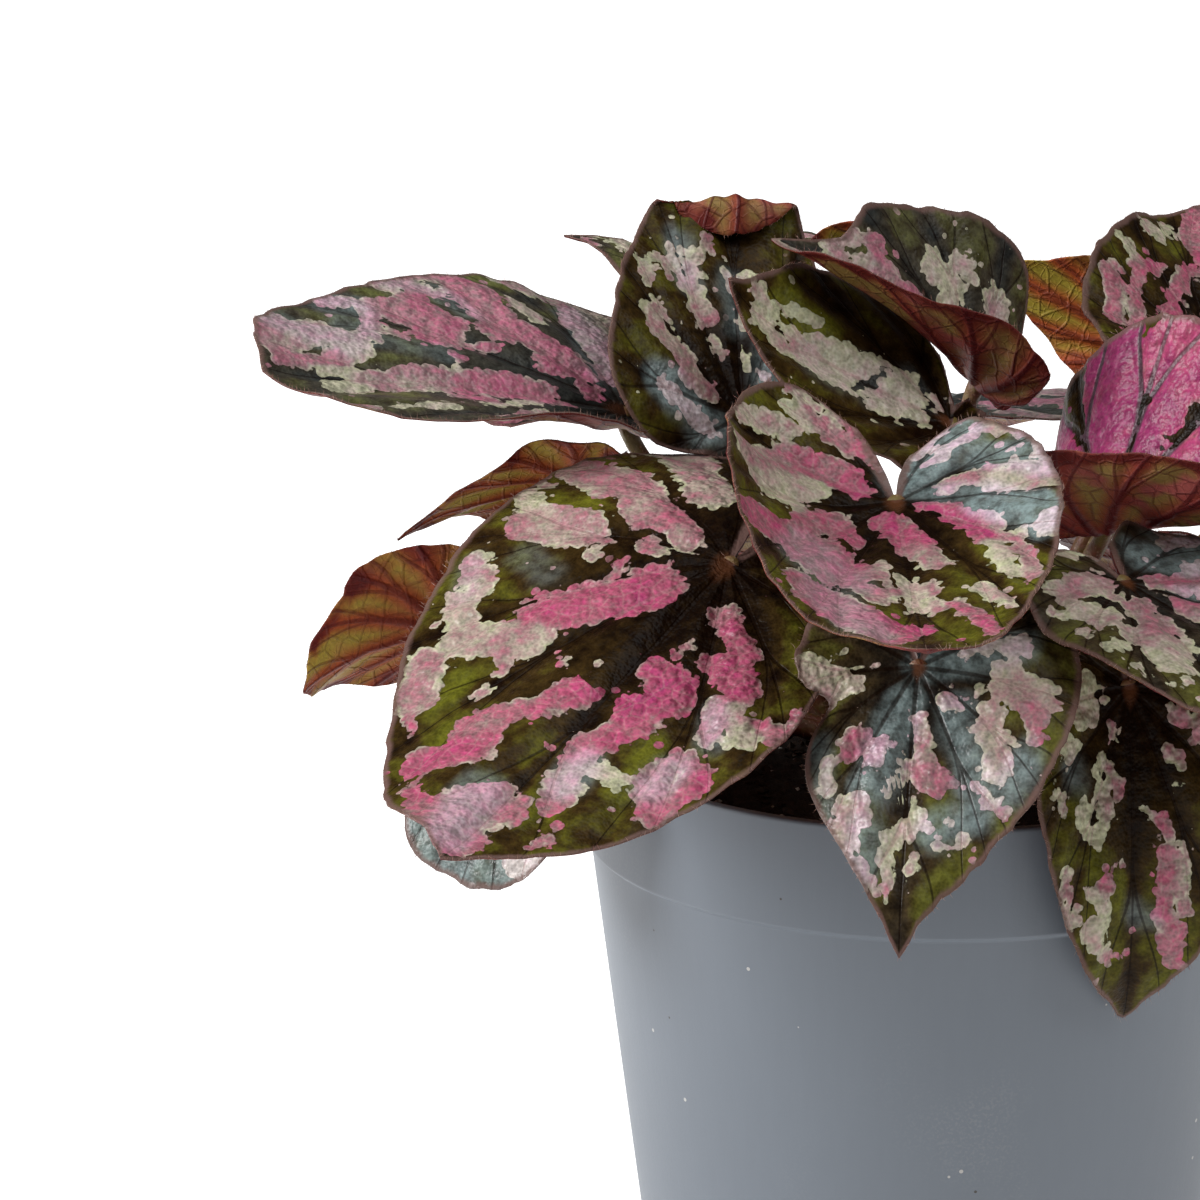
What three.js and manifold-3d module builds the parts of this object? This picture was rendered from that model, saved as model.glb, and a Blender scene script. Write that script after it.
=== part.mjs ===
// Potted rex begonia in a tapered plastic nursery pot.
// Millimetres, +Z up, origin at the centre of the pot's base. The plant's front faces -Y.
import * as THREE from 'three';
import { mergeVertices } from 'three/addons/utils/BufferGeometryUtils.js';
import Module from 'manifold-3d';

const wasm = await Module();
wasm.setup();

// ---- driving dimensions ----
const pot = {
  height: 105,
  rimRadius: 60,
  collarHeight: 19, // the straighter band under the rim
  collarStep: 0.9, // how far the body steps in below the collar
  collarTaper: 0.5,
  baseRadius: 47.5,
  wall: 1.3,
  lip: 0.6, // the rim's lip stands this far proud of the inner wall
  lipDepth: 2,
  cornerRadius: 2.5, // chamfer between wall and foot
  footWidth: 6,
  discRadius: 18, // the flat disc in the middle that the pot also stands on
  channelHeight: 2.6, // the drained ring between disc and foot is raised by this
  floor: 1.4,
  holes: 8,
  holeRadius: 4,
  holeRingRadius: 29.5,
  sides: 48,
};
const soil = { topDrop: 8, crown: 2.2, bump: 0.9, rings: 5, sides: 24, seed: 11 };
const clearance = 0.32; // between pieces that touch
const petiole = { footRadius: 2.1, tipRadius: 1.35, sides: 6, steps: 7 };
const rhizome = {
  radius: 6.5,
  taper: 0.28, // share of the radius lost towards an arm's end
  armLength: 21,
  arms: 3,
  turn: 35, // heading of the first arm
  sway: 0.3, // radians
  lift: 0.5, // centre above the soil's edge, in the middle and
  rise: 2.5, // further up at the arms' ends
  knots: 4,
  sides: 8,
};
const blade = {
  thickness: 0.7,
  fan: 20, // facets from one side of the gap between the lobes round to the other
  rings: [0, 0.45, 0.8, 1],
  curledRings: [0, 0.4, 0.61, 0.68, 0.74, 0.8, 1],
  sinus: 15, // half the gap between the lobes, degrees
};

const soilTop = pot.height - soil.topDrop;
const degree = Math.PI / 180;

// Half-outline of a leaf whose midrib is 1 long: the angle from the tip and the radius of the
// broad half and of the narrow half, measured from where the petiole joins.
const outline = {
  angle: [0, 4, 14, 32, 60, 90, 113, 138, 158, 180],
  broad: [1, 0.885, 0.765, 0.655, 0.575, 0.535, 0.52, 0.485, 0.42, 0.33],
  narrow: [1, 0.875, 0.72, 0.575, 0.455, 0.41, 0.395, 0.365, 0.325, 0.26],
  blunter: [-0.13, -0.01, 0.12, 0.05, 0, 0, 0, 0, 0, 0], // added, as a share, at a blunt tip
};

// Each leaf: where the petiole joins the blade, the compass heading of the midrib (0 along +X,
// 90 along +Y), its pitch above the horizontal, the roll about it (positive lifts the left
// half) and its length. Optional: wide (share of the usual width), broad (which half is the
// broad one, 1 left or -1 right), droop (how far the midrib turns down towards the tip), tip
// (more of that past the share tipFrom of the midrib, at most tipMost), lift (how far the left
// and the right basal lobe turn up), fold and cup (how far the two halves turn up at the midrib,
// and from there to the margin), lobes (length of the basal lobes, as a share of the usual),
// notch (angle off the tip, depth and width of a dent in the margin), blunt (1 for a rounded
// tip), wave (height of the margin's waves) and bow (how far the petiole's middle swings aside,
// x and y).
const leaves = [
  { // front left, the largest
    at: [-34, -41, 144], heading: 232, pitch: -28, roll: -27, length: 89,
    broad: -1, droop: -8, tip: -35, lift: [-30, -26], fold: [13, -20], cup: [13, -8],
    notch: [100, 0.72, 32], blunt: 0.6,
  },
  { // upper left, long
    at: [-54, 19, 155], heading: 210, pitch: 16, roll: -32, length: 78,
    broad: -1, lobes: 0.6, droop: 16, tip: -48, fold: [30, -4], cup: [20, -14],
    notch: [100, 0.5, 36], blunt: 0.9,
  },
  { // its tip shows behind the upright leaf
    at: [-29, 34, 165.5], heading: 160, pitch: 27, roll: -4, length: 42,
    wide: 0.76, broad: -1, lobes: 0.7, droop: 10, blunt: 0,
  },
  { // upright, its tip curled over to the front
    at: [-33, 7, 157.5], heading: 96, pitch: 46, roll: 12, length: 60,
    wide: 0.8, lobes: 0.4, droop: 0, tip: -900, tipFrom: 0.6, tipMost: 215, lift: [-20, -15],
    fold: [14, 0], blunt: 1,
  },
  { // top centre, its near half folded up
    at: [7, 6.5, 164], heading: 206, pitch: 46, roll: -34, length: 52,
    broad: -1, lobes: 0.38, droop: 24, tip: 23, lift: [30, 20], fold: [40, 20], cup: [42, 10],
    notch: [-11, 0.18, 12],
  },
  { // below it, its near half showing
    at: [2, -9, 160.5], heading: 181, pitch: 22, roll: -36, length: 49,
    wide: 1.24, broad: -1, lobes: 0.3, droop: -27, tip: -38, lift: [-20, -20], fold: [11, 0],
    cup: [31, 0], notch: [-88, 0.9, 36],
  },
  { // front centre, a deep cup
    at: [-7, -46, 156], heading: 276, pitch: -22, roll: 4, length: 65,
    broad: -1, droop: -24, tip: -44, lift: [-5, 18], fold: [4, -12], cup: [17, 80], blunt: 0.6,
  },
  { // low front, hanging over the rim
    at: [-3.3, -68, 134.6], heading: 264, pitch: -43, roll: 1, length: 49,
    wide: 0.98, broad: 1, lobes: 1.05, droop: 20, lift: [-10, 45], notch: [-64, 0.3, 13], blunt: 0,
  },
  { // low front right, hanging
    at: [31, -52, 127], heading: 280, pitch: -70, roll: 2, length: 62,
    wide: 0.78, lobes: 0.6, droop: 40, tip: 30, lift: [12, 12], fold: [15, 20], cup: [5, 20],
  },
  { // front right
    at: [30, -51.5, 144.5], heading: 300, pitch: -20, roll: -4, length: 50,
    lobes: 0.76, droop: 0, lift: [8, 10], cup: [12, 0],
  },
  { // right, its near half folded up
    at: [28, -21, 146.5], heading: 323, pitch: 13, roll: 43, length: 65,
    wide: 1.04, droop: 10, lift: [-40, 0], fold: [7, 85], cup: [16, 12], notch: [-128, 0.5, 30],
  },
  { // top right
    at: [47, 22, 167], heading: 76, pitch: 25, roll: 26, length: 47,
    droop: 5, tip: 20, lift: [8, 8], fold: [8, 0], cup: [4, 0],
  },
  { // top right, seen from below
    at: [37.5, 40, 162], heading: 168, pitch: 29, roll: 78, length: 33,
    wide: 0.85, lobes: 0.6, droop: 10,
  },
  { // top back, its lobes turned up
    at: [-5, 55, 176], heading: 88, pitch: 0, roll: 0, length: 46,
    lobes: 0.8, droop: 25, lift: [55, 55], wave: 1.6,
  },
  { // low left, seen from below
    at: [-83, -2, 121], heading: 198, pitch: 0, roll: 62, length: 34,
    wide: 0.85, droop: 50, tip: 20, fold: [35, 10], blunt: 0.7,
  },
  { // left, seen from below
    at: [-62, 15, 143.5], heading: 199, pitch: -3, roll: 42, length: 34,
    wide: 0.85, lobes: 0.7, droop: 18, blunt: 0,
  },
  { // low left, under the largest
    at: [-60, -22, 117], heading: 222, pitch: -44, roll: -10, length: 44,
    wide: 1.2, broad: -1, droop: 10, tip: 60, tipFrom: 0.62, notch: [70, 0.2, 11], blunt: 1,
  },
  { // right front
    at: [60, -30, 140], heading: 330, pitch: -15, roll: 5, length: 60,
    droop: 25, lift: [10, 20],
  },
  { // right
    at: [64, 5, 151], heading: 5, pitch: 2, roll: -10, length: 66,
    broad: -1, droop: 25, tip: 10, fold: [10, 0],
  },
  { // low right
    at: [66, -8, 122], heading: 352, pitch: -42, roll: 10, length: 52,
  },
  { // right back
    at: [60, 42, 142], heading: 42, pitch: 5, roll: 8, length: 60,
    lobes: 0.8, droop: 25, cup: [10, 10], bow: [0, -6],
  },
  { // back
    at: [2, 66, 146], heading: 82, pitch: -5, roll: 0, length: 64,
    broad: -1, droop: 28, cup: [8, 8],
  },
  { // low back
    at: [-12, 62, 118], heading: 104, pitch: -40, roll: 6, length: 52,
  },
  { // back left
    at: [-45, 52, 151], heading: 136, pitch: -2, roll: -8, length: 64,
    lobes: 0.8, droop: 14, fold: [8, 8],
  },
  { // low left back
    at: [-62, 28, 120], heading: 156, pitch: -32, roll: 8, length: 48,
    broad: -1, droop: 25,
  },
  { // low right back
    at: [42, 54, 118], heading: 50, pitch: -38, roll: -6, length: 50,
    broad: -1, droop: 22,
  },
];

// ---- small helpers ----
function randomFrom(seed) {
  let state = seed * 2654435761 % 4294967296;
  return () => {
    state = (state * 1664525 + 1013904223) % 4294967296;
    return state / 4294967296;
  };
}

// Smooth curve through the values ys at xs, read at x.
function smoothTable(xs, ys, x) {
  let i = 0;
  while (i < xs.length - 2 && x > xs[i + 1]) i++;
  const slope = (k) => {
    const a = Math.max(k - 1, 0);
    const b = Math.min(k + 1, xs.length - 1);
    return (ys[b] - ys[a]) / (xs[b] - xs[a]);
  };
  const span = xs[i + 1] - xs[i];
  const t = (x - xs[i]) / span;
  const t2 = t * t;
  const t3 = t2 * t;
  return (2 * t3 - 3 * t2 + 1) * ys[i] + (t3 - 2 * t2 + t) * span * slope(i)
    + (3 * t2 - 2 * t3) * ys[i + 1] + (t3 - t2) * span * slope(i + 1);
}

function closedGeometry(positions, triangles) {
  const geometry = new THREE.BufferGeometry();
  geometry.setAttribute('position', new THREE.Float32BufferAttribute(positions, 3));
  geometry.setIndex(triangles);
  return geometry;
}

function toSolid(geometry) {
  const bare = geometry.clone();
  bare.deleteAttribute('normal');
  bare.deleteAttribute('uv');
  const merged = mergeVertices(bare, 1e-4);
  return new wasm.Manifold(new wasm.Mesh({
    numProp: 3,
    vertProperties: merged.attributes.position.array,
    triVerts: new Uint32Array(merged.index.array),
  }));
}

function toGeometry(solid) {
  const mesh = solid.getMesh();
  return closedGeometry(mesh.vertProperties, Array.from(mesh.triVerts));
}

// The largest body of a solid: what a cut leaves loose is dropped.
function mainBody(solid) {
  return solid.decompose().reduce((a, b) => (a.volume() > b.volume() ? a : b));
}

// ---- pot ----
function potSolid() {
  const { height, rimRadius, baseRadius, wall, floor, channelHeight, cornerRadius } = pot;
  const collarBottom = height - pot.collarHeight;
  const collarRadius = rimRadius - pot.collarTaper;
  const bodyRadius = collarRadius - pot.collarStep;
  const footInner = baseRadius - cornerRadius - pot.footWidth;
  const profile = [
    [0, 0],
    [pot.discRadius, 0],
    [pot.discRadius + channelHeight, channelHeight],
    [footInner - channelHeight, channelHeight],
    [footInner, 0],
    [baseRadius - cornerRadius, 0],
    [baseRadius, cornerRadius],
    [bodyRadius, collarBottom],
    [collarRadius, collarBottom + 0.4],
    [rimRadius, height - 0.5],
    [rimRadius - 0.5, height],
    [rimRadius - wall - pot.lip, height],
    [rimRadius - wall, height - pot.lipDepth],
    [collarRadius - wall, collarBottom],
    [bodyRadius - wall, collarBottom - 3],
    [baseRadius - wall, cornerRadius + channelHeight + floor],
    [baseRadius - cornerRadius - wall, channelHeight + floor],
    [0, channelHeight + floor],
  ].map(([r, z]) => new THREE.Vector2(r, z));
  const wallSolid = toSolid(new THREE.LatheGeometry(profile, pot.sides).rotateX(Math.PI / 2));
  let drilled = wallSolid;
  for (let i = 0; i < pot.holes; i++) {
    const angle = (i + 0.5) * 2 * Math.PI / pot.holes;
    const drill = new THREE.CylinderGeometry(pot.holeRadius, pot.holeRadius, 20, 12)
      .rotateX(Math.PI / 2)
      .translate(pot.holeRingRadius * Math.cos(angle), pot.holeRingRadius * Math.sin(angle), 0);
    drilled = drilled.subtract(toSolid(drill));
  }
  return drilled;
}

// Inner radius of the pot's wall at a height above the floor.
function innerRadius(z) {
  const collarBottom = pot.height - pot.collarHeight;
  const low = pot.baseRadius - pot.wall;
  const high = pot.rimRadius - pot.collarTaper - pot.collarStep - pot.wall;
  if (z > collarBottom) return pot.rimRadius - pot.collarTaper - pot.wall;
  return low + (high - low) * (z - pot.cornerRadius) / (collarBottom - pot.cornerRadius);
}

// ---- soil ----
function soilSolid(stemsAndHoles) {
  const random = randomFrom(soil.seed);
  const bottom = pot.channelHeight + pot.floor + clearance;
  const side = [
    [innerRadius(bottom) - pot.cornerRadius - clearance, bottom],
    [innerRadius(bottom + 3) - clearance - 0.2, bottom + 3],
    [innerRadius(pot.height - pot.collarHeight - 3.2) - clearance - 0.2,
      pot.height - pot.collarHeight - 3.2],
    [innerRadius(pot.height - 3) - clearance - 0.3, soilTop - 4],
    [innerRadius(pot.height - 3) - clearance - 0.3, soilTop - 1],
  ];
  const facet = Math.cos(Math.PI / soil.sides) / Math.cos(Math.PI / pot.sides);
  const positions = [0, 0, bottom];
  const triangles = [];
  const ringStart = [];
  const addRing = (radius, z, rough) => {
    ringStart.push(positions.length / 3);
    for (let j = 0; j < soil.sides; j++) {
      const angle = 2 * Math.PI * j / soil.sides;
      const bump = rough * (random() - 0.5) * 2 * soil.bump;
      positions.push(radius * Math.cos(angle), radius * Math.sin(angle), z + bump);
    }
  };
  side.forEach(([radius, z]) => addRing(radius * facet, z, 0));
  const outer = side[side.length - 1][0] * facet;
  for (let i = 1; i < soil.rings; i++) {
    const share = 1 - i / soil.rings;
    addRing(outer * share, soilTop - 1 + soil.crown * (1 - share * share), 1);
  }
  positions.push(0, 0, soilTop - 1 + soil.crown);
  const top = positions.length / 3 - 1;
  const last = ringStart[ringStart.length - 1];
  for (let j = 0; j < soil.sides; j++) {
    const next = (j + 1) % soil.sides;
    triangles.push(0, ringStart[0] + next, ringStart[0] + j, top, last + j, last + next);
    for (let i = 0; i < ringStart.length - 1; i++) {
      const [a, b] = [ringStart[i], ringStart[i + 1]];
      triangles.push(a + j, a + next, b + next, a + j, b + next, b + j);
    }
  }
  return mainBody(toSolid(closedGeometry(positions, triangles)).subtract(stemsAndHoles));
}

// ---- leaf blades ----
const leafDefaults = {
  wide: 1, broad: 1, droop: 20, tip: 15, tipFrom: 0.6, tipMost: 400, lobes: 1, lift: [0, 0],
  fold: [0, 0], cup: [0, 0], notch: [0, 0, 11], blunt: 0.3, wave: 1.1, bow: [0, 0],
};

// The leaf's own directions: along the midrib, towards the left half, and out of its face.
function leafAxes(leaf) {
  const heading = leaf.heading * degree;
  const pitch = leaf.pitch * degree;
  const roll = leaf.roll * degree;
  const along = new THREE.Vector3(
    Math.cos(pitch) * Math.cos(heading), Math.cos(pitch) * Math.sin(heading), Math.sin(pitch));
  const level = new THREE.Vector3(-Math.sin(heading), Math.cos(heading), 0);
  const up = new THREE.Vector3().crossVectors(along, level);
  const left = level.clone().multiplyScalar(Math.cos(roll)).addScaledVector(up, Math.sin(roll));
  const face = up.clone().multiplyScalar(Math.cos(roll)).addScaledVector(level, -Math.sin(roll));
  return { along, left, face };
}

// Running position and angle of a line that turns by turnAt(distance), in small steps.
function bentLine(length, turnAt) {
  const steps = 60;
  const line = [{ x: 0, y: 0, turn: turnAt(0) }];
  for (let i = 1; i <= steps; i++) {
    const before = line[i - 1];
    const turn = turnAt(length * i / steps);
    const middle = (before.turn + turn) / 2;
    const step = length / steps;
    line.push({ x: before.x + step * Math.cos(middle), y: before.y + step * Math.sin(middle), turn });
  }
  return (distance) => {
    const s = Math.min(Math.max(distance / length, 0), 1) * steps;
    const i = Math.min(Math.floor(s), steps - 1);
    const share = s - i;
    const mix = (key) => line[i][key] + (line[i + 1][key] - line[i][key]) * share;
    return { x: mix('x'), y: mix('y'), turn: mix('turn') };
  };
}

// Returns a function from the angle off the tip (degrees, left is positive) and the share of
// the way out to the margin, to a point on the blade's middle surface.
function bladeSurface(leaf, grow = 0) {
  const { length } = leaf;
  const { along, left, face } = leafAxes(leaf);
  const halfWidth = 0.5 * length * leaf.wide;
  const forward = bentLine(length * 1.1, (s) => {
    const curl = leaf.tip * (Math.max(0, s / length - leaf.tipFrom) / (1 - leaf.tipFrom)) ** 2;
    return -degree * (leaf.droop * s / length
      + Math.min(Math.max(curl, -leaf.tipMost), leaf.tipMost));
  });
  const lobes = leaf.lift.map((lift) => bentLine(length * 0.6,
    (s) => degree * lift * Math.min(1, s / length / 0.25)));
  const halves = [0, 1].map((k) => bentLine(length * 0.9, (s) => degree
    * (leaf.fold[k] * Math.min(1, s / length / 0.09) + leaf.cup[k] * s / halfWidth)));
  const random = randomFrom(leaf.seed);
  const [phaseA, phaseB, waves] = [random() * 6.28, random() * 6.28, 4 + Math.floor(random() * 3)];
  return (angle, share) => {
    const side = angle * leaf.broad >= 0 ? outline.broad : outline.narrow;
    const dent = 1 - leaf.notch[1] * Math.exp(-(((angle - leaf.notch[0]) / leaf.notch[2]) ** 2));
    const behind = Math.min(Math.max((Math.abs(angle) - 80) / 60, 0), 1);
    const shorter = 1 - (1 - leaf.lobes) * behind * behind * (3 - 2 * behind);
    const blunter = 1 + leaf.blunt * smoothTable(outline.angle, outline.blunter, Math.abs(angle));
    const reach = length * smoothTable(outline.angle, side, Math.abs(angle)) * blunter * dent
      * shorter;
    const radius = share * (reach + grow);
    const u = radius * Math.cos(angle * degree);
    const v = radius * Math.sin(angle * degree) * leaf.wide;
    const half = halves[angle >= 0 ? 0 : 1](Math.abs(v));
    const rib = u >= 0 ? forward(u) : lobes[angle >= 0 ? 0 : 1](-u);
    const ripple = leaf.wave * share ** 3 * Math.min(1, Math.abs(angle) / 12)
      * (Math.sin(waves * angle * degree + phaseA) + 0.5 * Math.sin(9 * angle * degree + phaseB));
    const height = half.y + ripple;
    const turn = u >= 0 ? rib.turn : -rib.turn;
    const alongBy = (u >= 0 ? rib.x : -rib.x) - height * Math.sin(turn);
    const faceBy = rib.y + height * Math.cos(turn);
    return new THREE.Vector3(...leaf.at)
      .addScaledVector(along, alongBy)
      .addScaledVector(left, Math.sign(v) * half.x)
      .addScaledVector(face, faceBy);
  };
}

// A closed sheet over the blade's middle surface, split alike on both faces.
function bladeSolid(leaf, thickness = blade.thickness, grow = 0) {
  const surface = bladeSurface(leaf, grow);
  const reach = 180 - blade.sinus + grow * 4;
  const angles = [];
  for (let j = 0; j <= blade.fan; j++) {
    const s = 2 * j / blade.fan - 1;
    angles.push(reach * Math.sign(s) * Math.abs(s) ** 1.3);
  }
  const faceAt = (angle, share) => {
    const d = 0.02;
    const here = surface(angle, Math.max(share, 0.04));
    const out = surface(angle, Math.max(share, 0.04) + d).sub(here);
    const around = surface(angle + 1, Math.max(share, 0.04)).sub(surface(angle - 1, Math.max(share, 0.04)));
    return out.cross(around).normalize();
  };
  const { face } = leafAxes(leaf);
  const rings = leaf.tipFrom > leafDefaults.tipFrom ? blade.curledRings : blade.rings;
  const positions = [];
  const rowAt = (share, level) => {
    const place = (angle) => {
      const normal = share === 0 ? face : faceAt(angle, share);
      const point = surface(angle, share).addScaledVector(normal, level * thickness);
      positions.push(point.x, point.y, point.z);
      return positions.length / 3 - 1;
    };
    return share === 0 ? new Array(angles.length).fill(place(0)) : angles.map(place);
  };
  const [top, under] = [0.5, -0.5].map((level) => rings.map((share) => rowAt(share, level)));
  const triangles = [];
  const quad = (a, b, c, d) => triangles.push(a, b, c, a, c, d);
  const edge = rings.length - 1;
  const end = blade.fan;
  for (let i = 0; i < edge; i++) {
    for (let j = 0; j < blade.fan; j++) {
      const [a, b, c, d] = [top[i][j], top[i + 1][j], top[i + 1][j + 1], top[i][j + 1]];
      const [e, f, g, h] = [under[i][j], under[i + 1][j], under[i + 1][j + 1], under[i][j + 1]];
      triangles.push(a, b, c, e, g, f);
      if (i > 0) triangles.push(a, c, d, e, h, g);
    }
    quad(top[i][0], under[i][0], under[i + 1][0], top[i + 1][0]);
    quad(top[i][end], top[i + 1][end], under[i + 1][end], under[i][end]);
  }
  for (let j = 0; j < blade.fan; j++) {
    quad(top[edge][j], under[edge][j], under[edge][j + 1], top[edge][j + 1]);
  }
  return toSolid(closedGeometry(positions, triangles));
}

// ---- rhizome and petioles ----
// Centre of a rhizome arm at a share of its length.
function armPoint(arm, share) {
  const heading = (rhizome.turn + 360 * arm / rhizome.arms) * degree
    + rhizome.sway * Math.sin(3 * share + arm);
  const reach = rhizome.armLength * share;
  return new THREE.Vector3(reach * Math.cos(heading), reach * Math.sin(heading),
    soilTop + rhizome.lift + rhizome.rise * share);
}

function rhizomeSolid(extra) {
  let joined = null;
  for (let arm = 0; arm < rhizome.arms; arm++) {
    for (let k = 0; k <= rhizome.knots; k++) {
      const share = k / rhizome.knots;
      const waist = k % 2 ? 0.88 : 1;
      const radius = rhizome.radius * (1 - rhizome.taper * share) * waist + extra;
      const centre = armPoint(arm, share);
      const knot = new THREE.SphereGeometry(radius, rhizome.sides, rhizome.sides - 2)
        .scale(1, 1, 0.85)
        .translate(centre.x, centre.y, centre.z);
      const solid = toSolid(knot);
      joined = joined ? joined.add(solid) : solid;
    }
  }
  return joined;
}

// The place on the rhizome that lies nearest to a leaf, a third of the way out to it.
function petioleFoot(join) {
  const spread = Math.hypot(join.x, join.y);
  const wanted = Math.min(rhizome.armLength, 5 + 0.32 * spread) / spread;
  const aim = new THREE.Vector3(join.x * wanted, join.y * wanted, soilTop);
  let best = armPoint(0, 0);
  for (let arm = 0; arm < rhizome.arms; arm++) {
    for (let share = 0; share <= 1; share += 0.1) {
      const place = armPoint(arm, share);
      if (place.distanceTo(aim) < best.distanceTo(aim)) best = place;
    }
  }
  return best;
}

// A petiole rises from the rhizome and bends into the midrib from below.
function petioleCurve(leaf) {
  const { along, face } = leafAxes(leaf);
  const join = new THREE.Vector3(...leaf.at);
  const foot = petioleFoot(join);
  const rise = join.z - foot.z;
  const lower = foot.clone().add(new THREE.Vector3(
    0.2 * (join.x - foot.x) + leaf.bow[0], 0.2 * (join.y - foot.y) + leaf.bow[1], 0.45 * rise));
  const arrival = along.clone().multiplyScalar(0.55).addScaledVector(face, 0.83).normalize();
  const upper = join.clone().addScaledVector(arrival, -0.34 * rise)
    .add(new THREE.Vector3(leaf.bow[0] * 0.6, leaf.bow[1] * 0.6, 0));
  return new THREE.CubicBezierCurve3(foot, lower, upper, join);
}

function petioleSolid(leaf, extra) {
  const curve = petioleCurve(leaf);
  const frames = curve.computeFrenetFrames(petiole.steps, false);
  const positions = [];
  const triangles = [];
  const { sides, steps } = petiole;
  for (let i = 0; i <= steps; i++) {
    const share = i / steps;
    const centre = curve.getPointAt(share);
    const swell = 1 + 0.35 * Math.exp(-share * 14);
    const radius = (petiole.footRadius + (petiole.tipRadius - petiole.footRadius) * share) * swell
      * (0.8 + 0.2 * Math.min(1, leaf.length / 60)) + extra;
    for (let j = 0; j < sides; j++) {
      const angle = 2 * Math.PI * j / sides;
      const point = centre.clone()
        .addScaledVector(frames.normals[i], radius * Math.cos(angle))
        .addScaledVector(frames.binormals[i], radius * Math.sin(angle));
      positions.push(point.x, point.y, point.z);
    }
  }
  for (let j = 0; j < sides; j++) {
    const next = (j + 1) % sides;
    for (let i = 0; i < steps; i++) {
      const [a, b] = [i * sides, (i + 1) * sides];
      triangles.push(a + j, a + next, b + next, a + j, b + next, b + j);
    }
    if (j > 0 && j < sides - 1) {
      const end = steps * sides;
      triangles.push(0, j + 1, j, end, end + j, end + j + 1);
    }
  }
  return toSolid(closedGeometry(positions, triangles));
}

function stemsSolid(extra) {
  const petioles = leaves.map((leaf) => petioleSolid(leaf, extra));
  return wasm.Manifold.union([rhizomeSolid(extra), ...petioles]);
}

// ---- materials and assembly ----
const colours = {
  pot: { color: 0x76828f, roughness: 0.42 },
  soil: { color: 0x1c1713, roughness: 0.95 },
  stems: { color: 0x6d3126, roughness: 0.6 },
  leaf: [0xb0627c, 0x4c5a38, 0x9a6c78, 0x5a6b58, 0xb4506f, 0x7f7f62],
};

function addPiece(group, name, solid, look) {
  const geometry = toGeometry(solid);
  geometry.computeVertexNormals();
  const material = new THREE.MeshStandardMaterial({ metalness: 0, flatShading: true, ...look });
  const mesh = new THREE.Mesh(geometry, material);
  mesh.name = name;
  group.add(mesh);
}

leaves.forEach((leaf, i) => { leaves[i] = { ...leafDefaults, seed: i + 1, ...leaf }; });
const plant = new THREE.Group();
addPiece(plant, 'pot', potSolid(), colours.pot);
addPiece(plant, 'soil', soilSolid(stemsSolid(clearance)), colours.soil);
const bladeRoom = leaves.map((leaf) => bladeSolid(leaf, blade.thickness + 2 * clearance, clearance));
const stems = mainBody(stemsSolid(0).subtract(wasm.Manifold.union(bladeRoom)));
addPiece(plant, 'stems', stems, colours.stems);
leaves.forEach((leaf, i) => {
  const look = { color: colours.leaf[i % colours.leaf.length], roughness: 0.45 };
  addPiece(plant, 'leaf_' + String(i + 1).padStart(2, '0'), bladeSolid(leaf), look);
});

export default plant;
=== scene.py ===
# Potted rex begonia: the looks, around the fixed CAD frame.
# Blender works in metres here; the numbers in the dictionaries are millimetres and degrees, apart
# from the studio's, which are metres.
import math
import bpy
import bmesh
import numpy as np
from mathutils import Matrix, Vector


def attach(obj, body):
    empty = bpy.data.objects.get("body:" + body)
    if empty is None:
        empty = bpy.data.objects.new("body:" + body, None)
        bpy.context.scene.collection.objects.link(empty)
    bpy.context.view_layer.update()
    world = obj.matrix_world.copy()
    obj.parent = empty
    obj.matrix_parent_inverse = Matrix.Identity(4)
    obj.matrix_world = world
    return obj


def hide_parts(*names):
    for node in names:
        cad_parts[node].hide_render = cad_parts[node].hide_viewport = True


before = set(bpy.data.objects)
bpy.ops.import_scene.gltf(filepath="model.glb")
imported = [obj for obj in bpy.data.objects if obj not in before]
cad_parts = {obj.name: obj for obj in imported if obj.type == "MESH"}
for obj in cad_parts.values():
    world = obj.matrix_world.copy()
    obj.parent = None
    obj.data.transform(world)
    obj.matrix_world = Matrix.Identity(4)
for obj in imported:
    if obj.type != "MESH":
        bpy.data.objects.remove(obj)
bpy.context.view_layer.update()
mm = 0.001
degree = math.pi / 180
scene = bpy.context.scene
print("frame loaded:", len(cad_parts), "nodes")


# A mesh object from points in mm, riding on the root body.
def addMesh(name, points, faces, materials, faceMaterials=None, smooth=True):
    mesh = bpy.data.meshes.new(name)
    mesh.from_pydata((np.asarray(points) * mm).tolist(), [], faces)
    for material in materials:
        mesh.materials.append(material)
    if faceMaterials is not None:
        mesh.polygons.foreach_set("material_index", faceMaterials)
    mesh.polygons.foreach_set("use_smooth", [smooth] * len(mesh.polygons))
    mesh.update()
    piece = bpy.data.objects.new(name, mesh)
    scene.collection.objects.link(piece)
    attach(piece, "root")
    return piece


def keepValues(mesh, name, values):
    values = np.asarray(values, dtype=np.float32)
    kind, key = ("FLOAT_VECTOR", "vector") if values.ndim == 2 else ("FLOAT", "value")
    mesh.attributes.new(name, kind, "POINT").data.foreach_set(key, values.ravel())


# Smooth noise between -1 and 1 over a plane, one lump per unit.
def lumps(x, y, seed=0):
    xi, yi = np.floor(x), np.floor(y)
    fx, fy = x - xi, y - yi
    fx, fy = fx * fx * (3 - 2 * fx), fy * fy * (3 - 2 * fy)

    def corner(i, j):
        n = np.sin((xi + i) * 127.1 + (yi + j) * 311.7 + seed * 74.7) * 43758.5453
        return (n - np.floor(n)) * 2 - 1
    near = corner(0, 0) * (1 - fx) + corner(1, 0) * fx
    far = corner(0, 1) * (1 - fx) + corner(1, 1) * fx
    return near * (1 - fy) + far * fy


def smoothStep(low, high, x):
    t = np.clip((np.asarray(x, dtype=float) - low) / (high - low), 0, 1)
    return t * t * (3 - 2 * t)


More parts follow.
